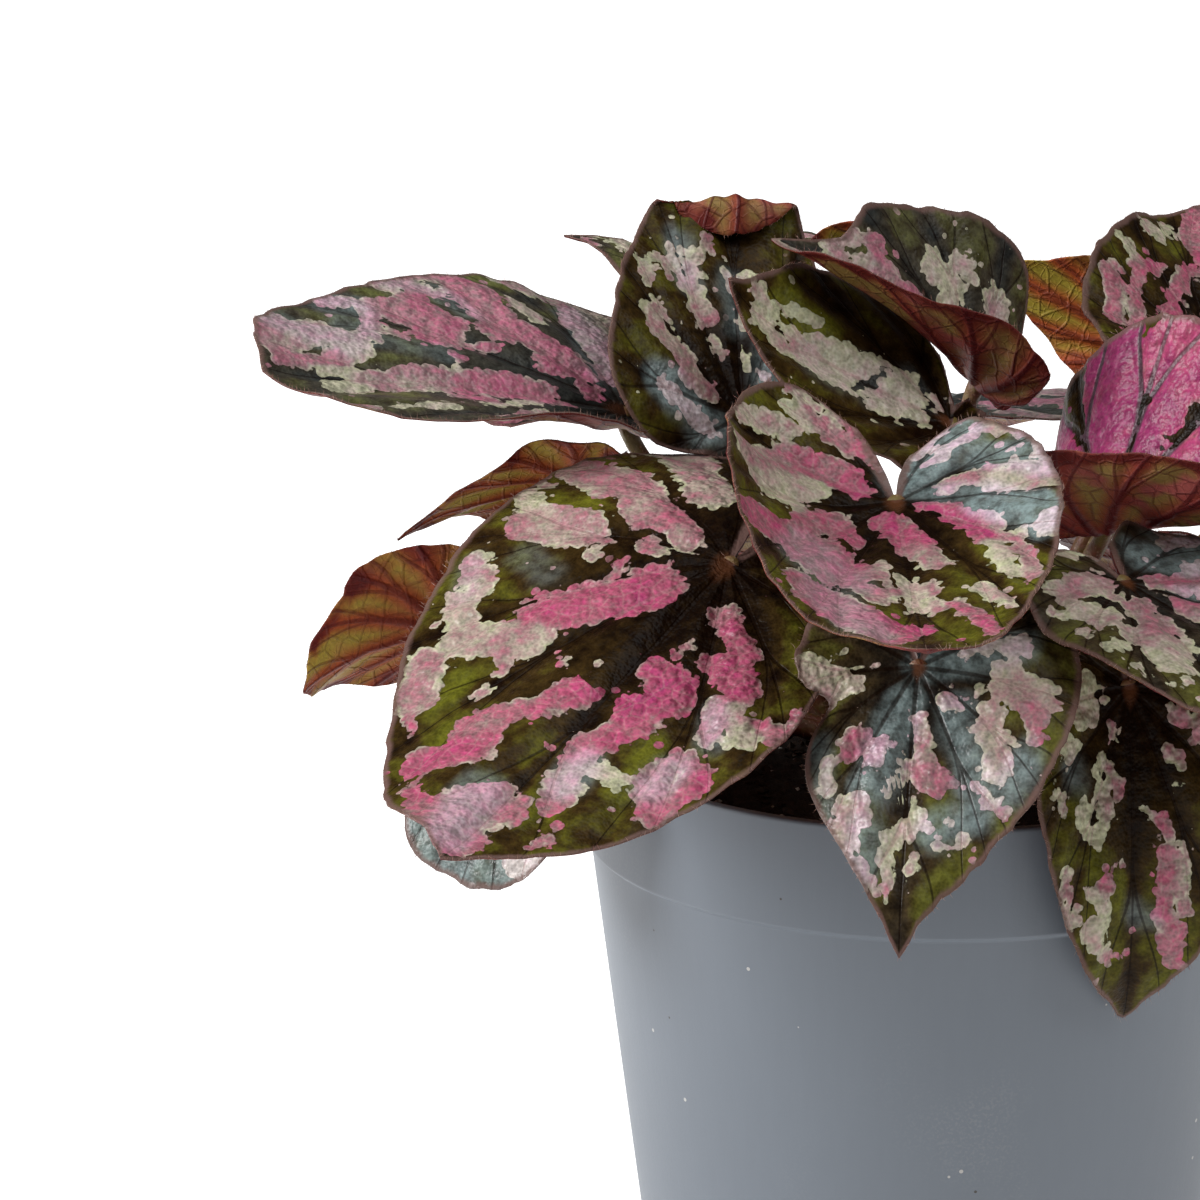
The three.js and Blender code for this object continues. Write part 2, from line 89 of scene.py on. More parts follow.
# Material nodes in short calls.
def newMaterial(name):
    material = bpy.data.materials.new(name)
    material.use_nodes = True
    tree = material.node_tree
    return material, tree, tree.nodes["Principled BSDF"]


def addNode(tree, kind, inputs=None, **settings):
    node = tree.nodes.new("ShaderNode" + kind)
    for name, value in settings.items():
        setattr(node, name, value)
    for name, value in (inputs or {}).items():
        if isinstance(value, bpy.types.NodeSocket):
            tree.links.new(value, node.inputs[name])
        else:
            node.inputs[name].default_value = value
    return node


def calc(tree, operation, a, b=0.0, c=0.0):
    return addNode(tree, "Math", {0: a, 1: b, 2: c}, operation=operation).outputs[0]


def ramp(tree, value, low, high, start=0.0, end=1.0):  # smooth step from start to end
    inputs = {"Value": value, "From Min": low, "From Max": high, "To Min": start, "To Max": end}
    return addNode(tree, "MapRange", inputs, interpolation_type="SMOOTHSTEP").outputs["Result"]


def mixColour(tree, factor, a, b, mode="MIX"):
    inputs = {0: factor, 6: a if hasattr(a, "links") else (*a, 1), 7: b if hasattr(b, "links") else (*b, 1)}
    return addNode(tree, "Mix", inputs, data_type="RGBA", blend_type=mode).outputs[2]


def readValue(tree, name):
    return addNode(tree, "Attribute", attribute_name=name).outputs["Fac"]


def readPlace(tree, name):
    return addNode(tree, "Attribute", attribute_name=name).outputs["Vector"]


def grain(tree, place, size, detail=2.0, dimensions="2D", rough=0.5):
    inputs = {"Vector": place, "Scale": 1 / size, "Detail": detail, "Roughness": rough}
    return addNode(tree, "TexNoise", inputs, noise_dimensions=dimensions).outputs["Fac"]


def cells(tree, place, size, feature="F1", dimensions="2D"):
    inputs = {"Vector": place, "Scale": 1 / size}
    node = addNode(tree, "TexVoronoi", inputs, voronoi_dimensions=dimensions, feature=feature)
    return node.outputs["Distance"]


def colourRamp(tree, value, stops):
    node = addNode(tree, "ValToRGB", {"Fac": value})
    line = node.color_ramp.elements
    while len(line) < len(stops):
        line.new(0.5)
    for stop, (place, colour) in zip(line, stops):
        stop.position = place
        stop.color = (*colour, 1)
    return node.outputs["Color"]


def around(tree, value, amount, middle=0.5):  # how far a value is from its middle, times an amount
    return calc(tree, "MULTIPLY", calc(tree, "SUBTRACT", value, middle), amount)


def total(tree, *values):
    result = values[0]
    for value in values[1:]:
        result = calc(tree, "ADD", result, value)
    return result


def shaded(tree, colour, value):  # a colour times a grey value
    grey = addNode(tree, "CombineColor", {0: value, 1: value, 2: value}).outputs[0]
    return mixColour(tree, 1.0, colour, grey, "MULTIPLY")


def objectPlace(tree):  # in mm
    place = addNode(tree, "TexCoord").outputs["Object"]
    return addNode(tree, "VectorMath", {0: place, 3: 1000.0}, operation="SCALE").outputs[0]


def setBump(tree, shader, height, strength):  # the height is in mm
    bump = addNode(tree, "Bump", {"Height": height, "Strength": strength, "Distance": mm})
    tree.links.new(bump.outputs["Normal"], shader.inputs["Normal"])


# The shape of the leaves: the same blades as in the CAD.
outline = {
    "angle": [0, 4, 14, 32, 60, 90, 113, 138, 158, 180],
    "broad": [1, 0.885, 0.765, 0.655, 0.575, 0.535, 0.52, 0.485, 0.42, 0.33],
    "narrow": [1, 0.875, 0.72, 0.575, 0.455, 0.41, 0.395, 0.365, 0.325, 0.26],
    "blunter": [-0.13, -0.01, 0.12, 0.05, 0, 0, 0, 0, 0, 0],  # added where the tip is fully blunt
}
leafForm = {
    "sinus": 15,  # half the gap between the basal lobes
    "veins": [0, 26, 52, 84, 118, 150],  # main veins, degrees off the tip
    "veinBend": 7,  # how far they curve towards the tip
    "columnWidth": 1.15,  # mesh spacing at the margin
    "rowHeight": 1.5,
    "thickness": 0.62,
    "edgeThickness": 0.3,
    "quilt": 0.75,  # how far the blade stands up between veins
    "ridge": 0.4,  # veins on the underside
    "tooth": 0.4,
    "ruffle": 0.7,
}
leafDefaults = {
    "wide": 1, "broad": 1, "droop": 20, "tip": 15, "tipFrom": 0.6, "tipMost": 400, "lobes": 1,
    "lift": (0, 0), "fold": (0, 0), "cup": (0, 0), "notch": (0, 0, 11), "blunt": 0.3, "wave": 1.1,
    "bow": (0, 0),
    "blush": 0.5, "sheen": 0.1, "bright": 0.3, "backlight": 0.3, "fill": 1, "grow": (),
}
leaves = [
    dict(at=(-34, -41, 144), heading=232, pitch=-28, roll=-27, length=89, broad=-1, droop=-8, tip=-35,
         lift=(-30, -26), fold=(13, -20), cup=(13, -8), notch=(100, 0.72, 32), blunt=0.6, sheen=0),
    dict(at=(-54, 19, 155), heading=210, pitch=16, roll=-32, length=78, broad=-1, lobes=0.6, droop=16,
         tip=-48, fold=(30, -4), cup=(20, -14), notch=(100, 0.5, 36), blunt=0.9, sheen=0.12),
    dict(at=(-29, 34, 165.5), heading=160, pitch=27, roll=-4, length=42, broad=-1, wide=0.76, lobes=0.7,
         droop=10, blunt=0, blush=0.1),
    dict(at=(-33, 7, 157.5), heading=96, pitch=46, roll=12, length=60, lobes=0.4, wide=0.8, droop=0,
         tip=-900, tipFrom=0.6, tipMost=215, lift=(-20, -15), fold=(14, 0), blunt=1, blush=0.3, sheen=0),
    dict(at=(7, 6.5, 164), heading=206, pitch=46, roll=-34, length=52, broad=-1, lobes=0.38, droop=24, tip=23,
         lift=(30, 20), fold=(40, 20), cup=(42, 10), notch=(-11, 0.18, 12), blush=0.3, backlight=0.3,
         grow=(0, 180)),
    dict(at=(2, -9, 160.5), heading=181, pitch=22, roll=-36, length=49, wide=1.24, broad=-1, lobes=0.3,
         notch=(-88, 0.9, 36), droop=-27, tip=-38, lift=(-20, -20), fold=(11, 0), cup=(31, 0),
         blush=0.25, sheen=0),
    dict(at=(-7, -46, 156), heading=276, pitch=-22, roll=4, length=65, broad=-1, droop=-24, tip=-44,
         lift=(-5, 18), fold=(4, -12), cup=(17, 80), blunt=0.6, sheen=0, bright=0.5),
    dict(at=(-3.3, -68, 134.6), heading=264, pitch=-43, roll=1, length=49, wide=0.98, broad=1, lobes=1.05,
         droop=20, lift=(-10, 45), notch=(-64, 0.3, 13), blunt=0, sheen=0.03, bright=0.5),
    dict(at=(31, -52, 127), heading=280, pitch=-70, roll=2, length=62, lobes=0.6, wide=0.78, droop=40,
         tip=30, lift=(12, 12), fold=(15, 20), cup=(5, 20), blush=0.55, sheen=0, bright=0.5, grow=(60, 180)),
    dict(at=(30, -51.5, 144.5), heading=300, pitch=-20, roll=-4, length=50, lobes=0.76, droop=0,
         lift=(8, 10), cup=(12, 0), blush=0.4, sheen=0.05, bright=0.5, grow=(20, 70)),
    dict(at=(28, -21, 146.5), heading=323, pitch=13, roll=43, length=65, wide=1.04, droop=10,
         lift=(-40, 0), fold=(7, 85), cup=(16, 12), notch=(-128, 0.5, 30), blush=1.25, sheen=0, fill=1.5),
    dict(at=(47, 22, 167), heading=76, pitch=25, roll=26, length=47, droop=5, tip=20, lift=(8, 8),
         fold=(8, 0), cup=(4, 0), blush=0.65, sheen=0, grow=(-180, 30)),
    dict(at=(37.5, 40, 162), heading=168, pitch=29, roll=78, length=33, lobes=0.6, wide=0.85, droop=10,
         backlight=1),
    dict(at=(-5, 55, 176), heading=88, pitch=0, roll=0, length=46, lobes=0.8, droop=25, lift=(55, 55),
         wave=1.6, backlight=0.9),
    dict(at=(-83, -2, 121), heading=198, pitch=0, roll=62, length=34, wide=0.85, droop=50, tip=20,
         fold=(35, 10), blunt=0.7, backlight=0.7),
    dict(at=(-62, 15, 143.5), heading=199, pitch=-3, roll=42, length=34, wide=0.85, lobes=0.7, droop=18,
         blunt=0, backlight=0.8),
    dict(at=(-60, -22, 117), heading=222, pitch=-44, roll=-10, length=44, wide=1.2, broad=-1, droop=10,
         tip=60, tipFrom=0.62, notch=(70, 0.2, 11), blunt=1, blush=0.1, sheen=0.7),
    dict(at=(60, -30, 140), heading=330, pitch=-15, roll=5, length=60, droop=25, lift=(10, 20), blush=0.7),
    dict(at=(64, 5, 151), heading=5, pitch=2, roll=-10, length=66, broad=-1, droop=25, tip=10,
         fold=(10, 0), blush=0.55, sheen=0.3),
    dict(at=(66, -8, 122), heading=352, pitch=-42, roll=10, length=52, blush=0.3, sheen=0.3),
    dict(at=(60, 42, 142), heading=42, pitch=5, roll=8, length=60, lobes=0.8, droop=25, cup=(10, 10),
         bow=(0, -6), blush=0.8),
    dict(at=(2, 66, 146), heading=82, pitch=-5, roll=0, length=64, broad=-1, droop=28, cup=(8, 8),
         blush=0.6, sheen=0.3),
    dict(at=(-12, 62, 118), heading=104, pitch=-40, roll=6, length=52, blush=0.4, sheen=0.4),
    dict(at=(-45, 52, 151), heading=136, pitch=-2, roll=-8, length=64, lobes=0.8, droop=14, fold=(8, 8),
         blush=0.7, sheen=0.1),
    dict(at=(-62, 28, 120), heading=156, pitch=-32, roll=8, length=48, broad=-1, droop=25, blush=0.3),
    dict(at=(42, 54, 118), heading=50, pitch=-38, roll=-6, length=50, broad=-1, droop=22, blush=0.5),
]
leaves = [{**leafDefaults, "seed": i + 1, **leaf} for i, leaf in enumerate(leaves)]


def randomFrom(seed):
    state = seed * 2654435761 % 4294967296

    def draw():
        nonlocal state
        state = (state * 1664525 + 1013904223) % 4294967296
        return state / 4294967296
    return draw


# Smooth curve through the values ys at xs, read at x.
def smoothTable(xs, ys, x):
    xs, ys = np.array(xs, dtype=float), np.array(ys, dtype=float)
    k = np.arange(len(xs))
    a, b = np.maximum(k - 1, 0), np.minimum(k + 1, len(xs) - 1)
    slope = (ys[b] - ys[a]) / (xs[b] - xs[a])
    i = np.searchsorted(xs[1:-1], x, side="left")
    span = xs[i + 1] - xs[i]
    t = (x - xs[i]) / span
    t2, t3 = t * t, t * t * t
    return ((2 * t3 - 3 * t2 + 1) * ys[i] + (t3 - 2 * t2 + t) * span * slope[i]
            + (3 * t2 - 2 * t3) * ys[i + 1] + (t3 - t2) * span * slope[i + 1])


# The leaf's own directions: along the midrib, towards the left half, and out of its face.
def leafAxes(leaf):
    heading, pitch, roll = (leaf[key] * degree for key in ("heading", "pitch", "roll"))
    along = np.array([math.cos(pitch) * math.cos(heading), math.cos(pitch) * math.sin(heading),
                      math.sin(pitch)])
    level = np.array([-math.sin(heading), math.cos(heading), 0])
    up = np.cross(along, level)
    left = level * math.cos(roll) + up * math.sin(roll)
    face = up * math.cos(roll) - level * math.sin(roll)
    return along, left, face


# Running position and angle of a line that turns by turnAt(distance).
def bentLine(length, turnAt):
    s = np.linspace(0, length, 61)
    turn = turnAt(s)
    middle = (turn[1:] + turn[:-1]) / 2
    x = np.concatenate([[0], np.cumsum(length / 60 * np.cos(middle))])
    y = np.concatenate([[0], np.cumsum(length / 60 * np.sin(middle))])

    def at(distance):
        d = np.clip(distance, 0, length)
        return np.interp(d, s, x), np.interp(d, s, y), np.interp(d, s, turn)
    return at


def leafReach(leaf, angle):
    side = np.where(angle * leaf["broad"] >= 0,
                    smoothTable(outline["angle"], outline["broad"], np.abs(angle)),
                    smoothTable(outline["angle"], outline["narrow"], np.abs(angle)))
    side = side * (1 + leaf["blunt"] * smoothTable(outline["angle"], outline["blunter"], np.abs(angle)))
    centre, depth, width = leaf["notch"]
    dent = 1 - depth * np.exp(-(((angle - centre) / width) ** 2))
    behind = np.clip((np.abs(angle) - 80) / 60, 0, 1)
    shorter = 1 - (1 - leaf["lobes"]) * behind * behind * (3 - 2 * behind)
    return leaf["length"] * side * dent * shorter


# Returns a function from angles off the tip (left is positive) and shares of the way out to the
# margin, to points on the blade's middle surface and to the same place on the flat leaf.
def leafSurface(leaf):
    length, wide = leaf["length"], leaf["wide"]
    along, left, face = leafAxes(leaf)
    halfWidth = 0.5 * length * wide

    def midribTurn(s):
        curl = leaf["tip"] * (np.maximum(0, s / length - leaf["tipFrom"]) / (1 - leaf["tipFrom"])) ** 2
        return -degree * (leaf["droop"] * s / length + np.clip(curl, -leaf["tipMost"], leaf["tipMost"]))
    forward = bentLine(length * 1.1, midribTurn)
    lobes = [bentLine(length * 0.6, lambda s, lift=lift: degree * lift * np.minimum(1, s / length / 0.25))
             for lift in leaf["lift"]]
    halves = [bentLine(length * 0.9, lambda s, k=k: degree * (leaf["fold"][k]
              * np.minimum(1, s / length / 0.09) + leaf["cup"][k] * s / halfWidth)) for k in (0, 1)]
    draw = randomFrom(leaf["seed"])
    phaseA, phaseB, waves = draw() * 6.28, draw() * 6.28, 4 + int(draw() * 3)

    def at(angle, share, out=0.0):
        radius = share * leafReach(leaf, angle) + out
        u = radius * np.cos(angle * degree)
        v = radius * np.sin(angle * degree) * wide
        isLeft = angle >= 0
        half = [np.where(isLeft, a, b) for a, b in zip(halves[0](np.abs(v)), halves[1](np.abs(v)))]
        ahead = forward(u)
        behind = [np.where(isLeft, a, b) for a, b in zip(lobes[0](-u), lobes[1](-u))]
        rib = [np.where(u >= 0, a, b) for a, b in zip(ahead, behind)]
        ripple = (leaf["wave"] * share ** 3 * np.minimum(1, np.abs(angle) / 12)
                  * (np.sin(waves * angle * degree + phaseA) + 0.5 * np.sin(9 * angle * degree + phaseB)))
        height = half[1] + ripple
        turn = np.where(u >= 0, rib[2], -rib[2])
        alongBy = np.where(u >= 0, rib[0], -rib[0]) - height * np.sin(turn)
        faceBy = rib[1] + height * np.cos(turn)
        place = (np.array(leaf["at"], dtype=float) + alongBy[..., None] * along
                 + (np.sign(v) * half[0])[..., None] * left + faceBy[..., None] * face)
        return place, u, v
    return at


# Column angles: closer together at the main veins, and about as wide as columnWidth at the margin.
def leafColumns(leaf):
    stops = leafForm["veins"] + [180 - leafForm["sinus"]]
    right = [0.0]
    for a, b in zip(stops[:-1], stops[1:]):
        arc = (b - a) * degree * leafReach(leaf, np.array([(a + b) / 2, -(a + b) / 2])).max()
        count = max(6, int(arc / leafForm["columnWidth"]))
        for k in range(1, count + 1):
            t = k / count
            right.append(a + (b - a) * (0.5 * t + 0.25 * (1 - math.cos(math.pi * t))))
    return np.array([-a for a in reversed(right[1:])] + right)


def leafPhase(angle):  # 0 on the midrib, 1 on the next main vein, and so on
    stops = leafForm["veins"] + [180 - leafForm["sinus"]]
    return np.interp(np.abs(angle), stops, [0, 1, 2, 3, 4, 5, 5.45])


def veinSpacing(angle):  # degrees between the two main veins beside an angle
    gaps = np.array([26, 26, 32, 34, 32, 32])
    return gaps[np.minimum(np.floor(leafPhase(angle)).astype(int), 5)]


veinLines = [-150, -118, -84, -52, -26, 0, 26, 52, 84, 118, 150]


# The pattern of the leaves that face the camera, read from the picture: strokes on the flat
# blade from one angle and share to another, with a half width in mm. A patch ends with its tone, from
# 0 for pale green through cream, dusty rose and pink to 1 for magenta, or below 0 for a hole. A silver
# stroke ends with how strongly it paints the leaf's silvery colour mixed with painted sheen, reflected
# light painted in, and a bright one with how far it clears the dark ground to olive.
painted = {
    1: {
        "patches": [
            (-139, 0.97, -138, 0.43, 4.4, 0.38), (-112, 0.92, -111, 0.66, 4.6, 0.42),
            (-116, 0.71, -104, 0.41, 4.4, 0.5), (-108, 0.38, -94, 0.17, 2.9, 0.6),
            (-80, 0.31, -74, 0.25, 2.2, 0.45), (-84, 0.81, -84, 0.59, 5.1, 0.42),
            (-96, 0.98, -89, 0.86, 2.6, 0.15), (-78, 0.53, -68, 0.46, 1.1, 0.5),
            (-69, 0.9, -60, 0.81, 2.8, 0.4), (-57, 0.88, -46, 0.82, 3.1, 0.35),
            (-42, 0.8, -34, 0.6, 4.5, 0.33), (-32, 0.67, -28, 0.67, 1.7, 0.35),
            (-40, 0.92, -31, 0.93, 3.8, 0.45), (-28, 0.96, -25, 0.93, 1, 0.8),
            (-42, 0.55, -33, 0.22, 5.6, 0.8), (-40, 0.59, -44, 0.55, 3.9, 0.6),
            (-62, 0.35, -58, 0.33, 1.5, 0.75), (-80, 0.47, -80, 0.47, 1.4, 0.6),
            (-7, 0.49, -11, 0.6, 2.9, 0.85), (-12, 0.61, -17, 0.75, 3.4, 0.6),
            (-11, 0.75, -16, 0.88, 4.1, 0.75), (-24, 0.72, -24, 0.71, 1.9, 0.5),
            (-1, 0.8, -5, 0.94, 5.6, 0.6), (0, 0.9, -1, 0.96, 3.8, 0.65),
            (-13, 0.94, -6, 0.99, 1.4, 0.7), (6, 0.34, 19, 0.46, 3.2, 0.95),
            (18, 0.47, 9, 0.49, 3.9, 0.9), (11, 0.54, 5, 0.6, 3.5, 0.75),
            (5, 0.63, 6, 0.78, 3.1, 0.5), (10, 0.7, 14, 0.75, 2.1, 0.12),
            (32, 0.21, 43, 0.48, 2.5, 0.8), (30, 0.41, 40, 0.64, 3.2, 0.85),
            (31, 0.61, 30, 0.73, 2.4, 0.6), (36, 0.68, 37, 0.85, 2.3, 0.25),
            (24, 0.76, 20, 0.83, 3, 0.6), (28, 0.88, 22, 0.93, 3, 0.75),
            (42, 0.86, 46, 0.99, 2.7, 0.7), (50, 0.97, 50, 0.99, 1.7, 0.75),
            (8, 0.95, 9, 0.88, 1.1, 0.7), (-128, 0.98, -128, 0.98, 1, 0.4),
            (-132, 0.97, -132, 0.97, 0.8, 0.4), (10, 0.3, 10, 0.3, 1.1, 0.75),
            (14, 0.28, 14, 0.28, 1.3, 0.75), (-18, 0.48, -17, 0.48, 0.9, 0.7),
            (-2, 0.62, -1, 0.61, 0.7, 0.6), (3, 0.74, 3, 0.74, 0.8, 0.4),
            (-50, 0.91, -50, 0.91, 1.1, 0.6), (-104, 0.98, -101, 0.93, 1.1, 0.5),
            (-112, 0.98, -112, 0.98, 0.9, 0.45), (-10, 0.42, -10, 0.42, 0.6, 0.5),
        ],
        "silverSheen": [
            (-71, 0.73, -60, 0.59, 2.3, 0.2), (-4, 0.82, -2, 0.96, 3.4, 0.5),
            (6, 0.65, 6, 0.74, 2.5, 0.5), (24, 0.78, 20, 0.82, 2.4, 0.45),
            (30, 0.64, 30, 0.76, 1.9, 0.45), (-68, 0.91, -59, 0.86, 2.1, 0.25),
        ],
        "bright": [
            (-30, 0.81, -20, 0.86, 2.9, 1), (-93, 0.59, -96, 0.77, 3.2, 0.8),
            (-58, 0.72, -48, 0.67, 1.6, 1), (18, 0.63, 15, 0.8, 2, 1), (0, 0.67, 4, 0.85, 1.7, 0.8),
            (50, 0.76, 49, 0.86, 1.6, 1), (-2, 0.52, -1, 0.67, 2.2, 0.6),
            (28, 0.72, 26, 0.74, 2, 1),
        ],
    },
    2: {
        "patches": [
            (-9, 0.96, -12, 0.89, 5.1, 0.43), (-3, 0.94, -6, 0.76, 2.1, 0.65),
            (-14, 0.84, -10, 0.74, 3.7, 0.34), (-27, 0.98, -28, 0.89, 2.6, 0.6),
            (-28, 0.85, -15, 0.71, 2.1, 0.6), (-30, 0.84, -28, 0.77, 2.8, 0.52),
            (-20, 0.7, -19, 0.65, 1.5, 0.52), (-36, 0.79, -26, 0.61, 4.9, 0.69),
            (-34, 0.65, -34, 0.63, 2.8, 0.82), (-41, 0.98, -47, 0.92, 2.9, 0.43),
            (-50, 0.98, -58, 0.98, 2.2, 0.56), (-46, 0.87, -48, 0.84, 2.6, 0.52),
            (-60, 0.93, -56, 0.81, 3.4, 0.65), (-58, 0.79, -52, 0.62, 4.9, 0.65),
            (-43, 0.53, -54, 0.54, 3.6, 0.65), (-70, 0.74, -70, 0.61, 2.1, 0.26),
            (-54, 0.49, -54, 0.29, 4.1, 0.73), (-40, 0.31, -56, 0.23, 3.1, 0.77),
            (-38, 0.14, -37, 0.12, 2.8, 0.82), (-27, 0.5, -30, 0.47, 1.6, 0.82),
            (-14, 0.48, -14, 0.47, 1.6, 0.82), (-77, 0.97, -84, 0.91, 2.9, 0.39),
            (-87, 0.95, -92, 0.96, 1.2, 0.43), (-98, 0.97, -101, 0.81, 4.1, 0.21),
            (-94, 0.87, -90, 0.61, 2.8, 0.52), (-96, 0.61, -102, 0.3, 4.7, 0.52),
            (-114, 0.53, -134, 0.23, 2.4, 0.65), (-108, 0.99, -108, 0.98, 1.1, 0.39),
            (-108, 0.81, -108, 0.77, 2.7, 0.17), (-2, 0.83, -2, 0.73, 1.5, 0.1),
            (2, 0.83, 3, 0.74, 2.1, 0.09), (0, 0.74, 0, 0.52, 3.1, 0.36),
            (-2, 0.69, -6, 0.48, 1.5, 0.6), (-2, 0.45, -2, 0.23, 3.5, 0.73),
            (8, 0.5, 10, 0.44, 2.1, 0.65), (2, 0.32, 6, 0.18, 1.5, 0.52),
            (17, 0.99, 18, 0.97, 1.5, 0.43), (18, 0.88, 18, 0.69, 1.5, 0.1),
            (16, 0.52, 10, 0.28, 1.3, 0.15), (26, 0.64, 22, 0.35, 1, 0.43),
            (28, 0.4, 44, 0.24, 1.3, 0.17), (10, 0.99, 12, 0.99, 0.8, 0.39),
        ],
        "silverSheen": [
            (-23, 0.91, -18, 0.8, 2.4, 0.4), (-49, 0.8, -46, 0.68, 2.9, 0.45),
            (-14, 0.67, -15, 0.5, 2.4, 0.35), (-63, 0.27, -78, 0.16, 1.6, 0.25),
            (-27, 0.98, -28, 0.89, 2.6, 0.65), (-26, 0.84, -16, 0.72, 1.7, 0.55),
            (-14, 0.95, -11, 0.76, 3.7, 0.5), (-93, 0.76, -90, 0.24, 3.7, 0.5),
            (-43, 0.96, -50, 0.87, 2.4, 0.4),
        ],
        "bright": [
            (-34, 0.96, -38, 0.9, 1.6, 1), (-68, 0.98, -76, 0.85, 1.6, 1),
            (-79, 0.65, -81, 0.64, 2, 1), (8, 0.77, 8, 0.65, 1.8, 1), (-6, 0.72, -8, 0.65, 0.9, 1),
        ],
    },
    3: {
        "patches": [
            (-10, 0.97, -4, 0.75, 2.8, 0.08), (-2, 0.96, 4, 0.94, 1.4, 0.6),
        ],
        "bright": [
            (-6, 0.97, 12, 0.89, 2.3, 1),
        ],
    },
    4: {
        "patches": [
            (32, 0.83, 33, 0.73, 1.2, 0.36), (38, 0.89, 43, 0.82, 1.3, 0.36),
            (24, 0.76, 26, 0.69, 1.5, 0.12), (18, 0.65, 19, 0.58, 1.5, 0.36),
            (24, 0.59, 23, 0.42, 2.1, 0.4), (26, 0.65, 28, 0.6, 1, 0.15),
            (50, 0.73, 54, 0.66, 2.4, 0.38), (54, 0.63, 56, 0.44, 2.6, 0.42),
            (64, 0.4, 65, 0.26, 2.6, 0.4), (84, 0.27, 84, 0.27, 0.6, 0.35),
            (24, 0.32, 20, 0.26, 1.1, 0.4), (-4, 0.53, -7, 0.36, 1.5, 0.42),
            (4, 0.54, 2, 0.48, 1.1, 0.2), (0, 0.39, 0, 0.35, 0.9, 0.2),
            (-4, 0.25, -7, 0.19, 0.9, 0.2), (-11, 0.28, -12, 0.28, 0.4, 0.2),
            (-26, 0.4, -31, 0.4, 1.2, 0.08), (-29, 0.28, -36, 0.28, 1, 0.1),
            (83, 0.57, 98, 0.45, 1.9, 0.1), (100, 0.45, 120, 0.48, 1.1, 0.12),
            (12, 0.67, 12, 0.64, 1.3, 0.42),
        ],
        "silverSheen": [
            (22, 0.76, 26, 0.62, 1.8, 0.5), (80, 0.59, 118, 0.49, 3, 0.9),
            (-27, 0.41, -38, 0.29, 2, 0.9), (4, 0.52, 2, 0.33, 1.4, 0.5),
        ],
        "bright": [
            (37, 0.72, 34, 0.48, 1.2, 0.5),
        ],
    },
    5: {
        "patches": [
            (0, 0.99, 4, 0.91, 1.1, 0.42), (0, 0.99, 4, 0.99, 0.8, 0.42),
            (4, 0.99, 5, 0.7, 0.8, 0.42), (-4, 0.86, -2, 0.76, 3, 0.4),
            (2, 0.69, 5, 0.64, 3.2, 0.2), (-10, 0.83, -10, 0.74, 1.8, 0.15),
            (-9, 0.71, -8, 0.5, 4.1, 0.65), (-18, 0.85, -16, 0.81, 1.9, 0.6),
            (-12, 0.97, -14, 0.94, 1.7, 0.3), (4, 0.9, 4, 0.9, 1.4, 0.35),
            (-44, 0.71, -40, 0.61, 2.6, 0.22), (-50, 0.64, -43, 0.44, 2.3, 0.15),
            (-58, 0.73, -60, 0.62, 1.8, 0.2), (-78, 0.6, -87, 0.55, 2.5, 0.3),
        ],
    },
    6: {
        "patches": [
            (2, 0.58, -7, 0.23, 4.9, 0.18), (16, 0.38, 12, 0.28, 2.4, 0.15),
            (4, 0.65, 5, 0.65, 2.4, 0.18), (6, 0.43, -13, 0.33, 0.9, -1),
            (-4, 0.92, -3, 0.82, 2.3, 0.25), (1, 0.83, 4, 0.76, 2.3, 0.27),
            (-1, 0.66, -1, 0.65, 2.3, 0.13), (6, 0.72, 6, 0.72, 0.9, 0.12),
            (-8, 0.8, -10, 0.69, 1.5, 0.02), (2, 0.14, 18, 0.13, 1.9, 0.18),
            (-45, 0.19, -40, 0.12, 1.5, 0.27), (26, 0.33, 26, 0.32, 0.8, 0.18),
        ],
        "silverSheen": [
            (4, 0.57, -6, 0.23, 5, 0.15),
        ],
        "bright": [
            (-6, 0.82, -8, 0.62, 3.4, 1), (8, 0.58, 8, 0.57, 0.6, 0.5),
        ],
    },
    7: {
        "patches": [
            (-122, 0.9, -130, 0.73, 3, 0.28), (-142, 0.84, -140, 0.69, 1.5, 0.1),
            (-148, 0.93, -149, 0.62, 1.4, 0.5), (-148, 0.74, -158, 0.48, 2, 0.65),
            (-156, 0.85, -162, 0.65, 1.2, 0.5), (-154, 0.98, -154, 0.98, 0.6, 0.5),
            (-160, 0.62, -165, 0.33, 1, 0.65), (-96, 0.8, -112, 0.57, 4.6, 0.42),
            (-120, 0.55, -130, 0.3, 3.3, 0.75), (-122, 0.37, -116, 0.18, 2.1, 0.8),
            (-86, 0.7, -98, 0.43, 4, 0.22), (-80, 0.56, -74, 0.5, 2.4, 0.15),
            (-58, 0.85, -52, 0.66, 4.6, 0.75), (-61, 0.48, -58, 0.33, 3.6, 0.62),
            (-62, 0.35, -34, 0.31, 2.2, 0.8), (-46, 0.59, -31, 0.54, 6.5, 0.62),
            (-34, 0.81, -28, 0.83, 3.5, 0.6), (-25, 0.78, -8, 0.82, 5.7, 0.65),
            (-18, 0.45, -11, 0.58, 3.1, 0.55), (-8, 0.76, -2, 0.73, 3.8, 0.95),
            (-14, 0.11, 8, 0.23, 3, 0.85), (6, 0.26, 14, 0.41, 2.5, 0.5),
            (-13, 0.36, -12, 0.39, 1.3, 0.2), (-6, 0.52, -6, 0.51, 2, 0.65),
            (-2, 0.4, 2, 0.57, 2.1, 0.2), (5, 0.49, 5, 0.64, 1.2, 0.5),
            (-12, 0.49, -12, 0.49, 1.1, -1), (-4, 0.61, -3, 0.61, 1.8, -1),
            (62, 0.14, 63, 0.35, 1.7, 0.8), (54, 0.35, 44, 0.57, 2.5, 1),
            (54, 0.55, 46, 0.78, 1.9, 0.6), (44, 0.78, 34, 0.93, 1.8, 0.48),
            (40, 0.57, 34, 0.74, 1.7, 0.15), (32, 0.75, 32, 0.85, 1.3, 0.15),
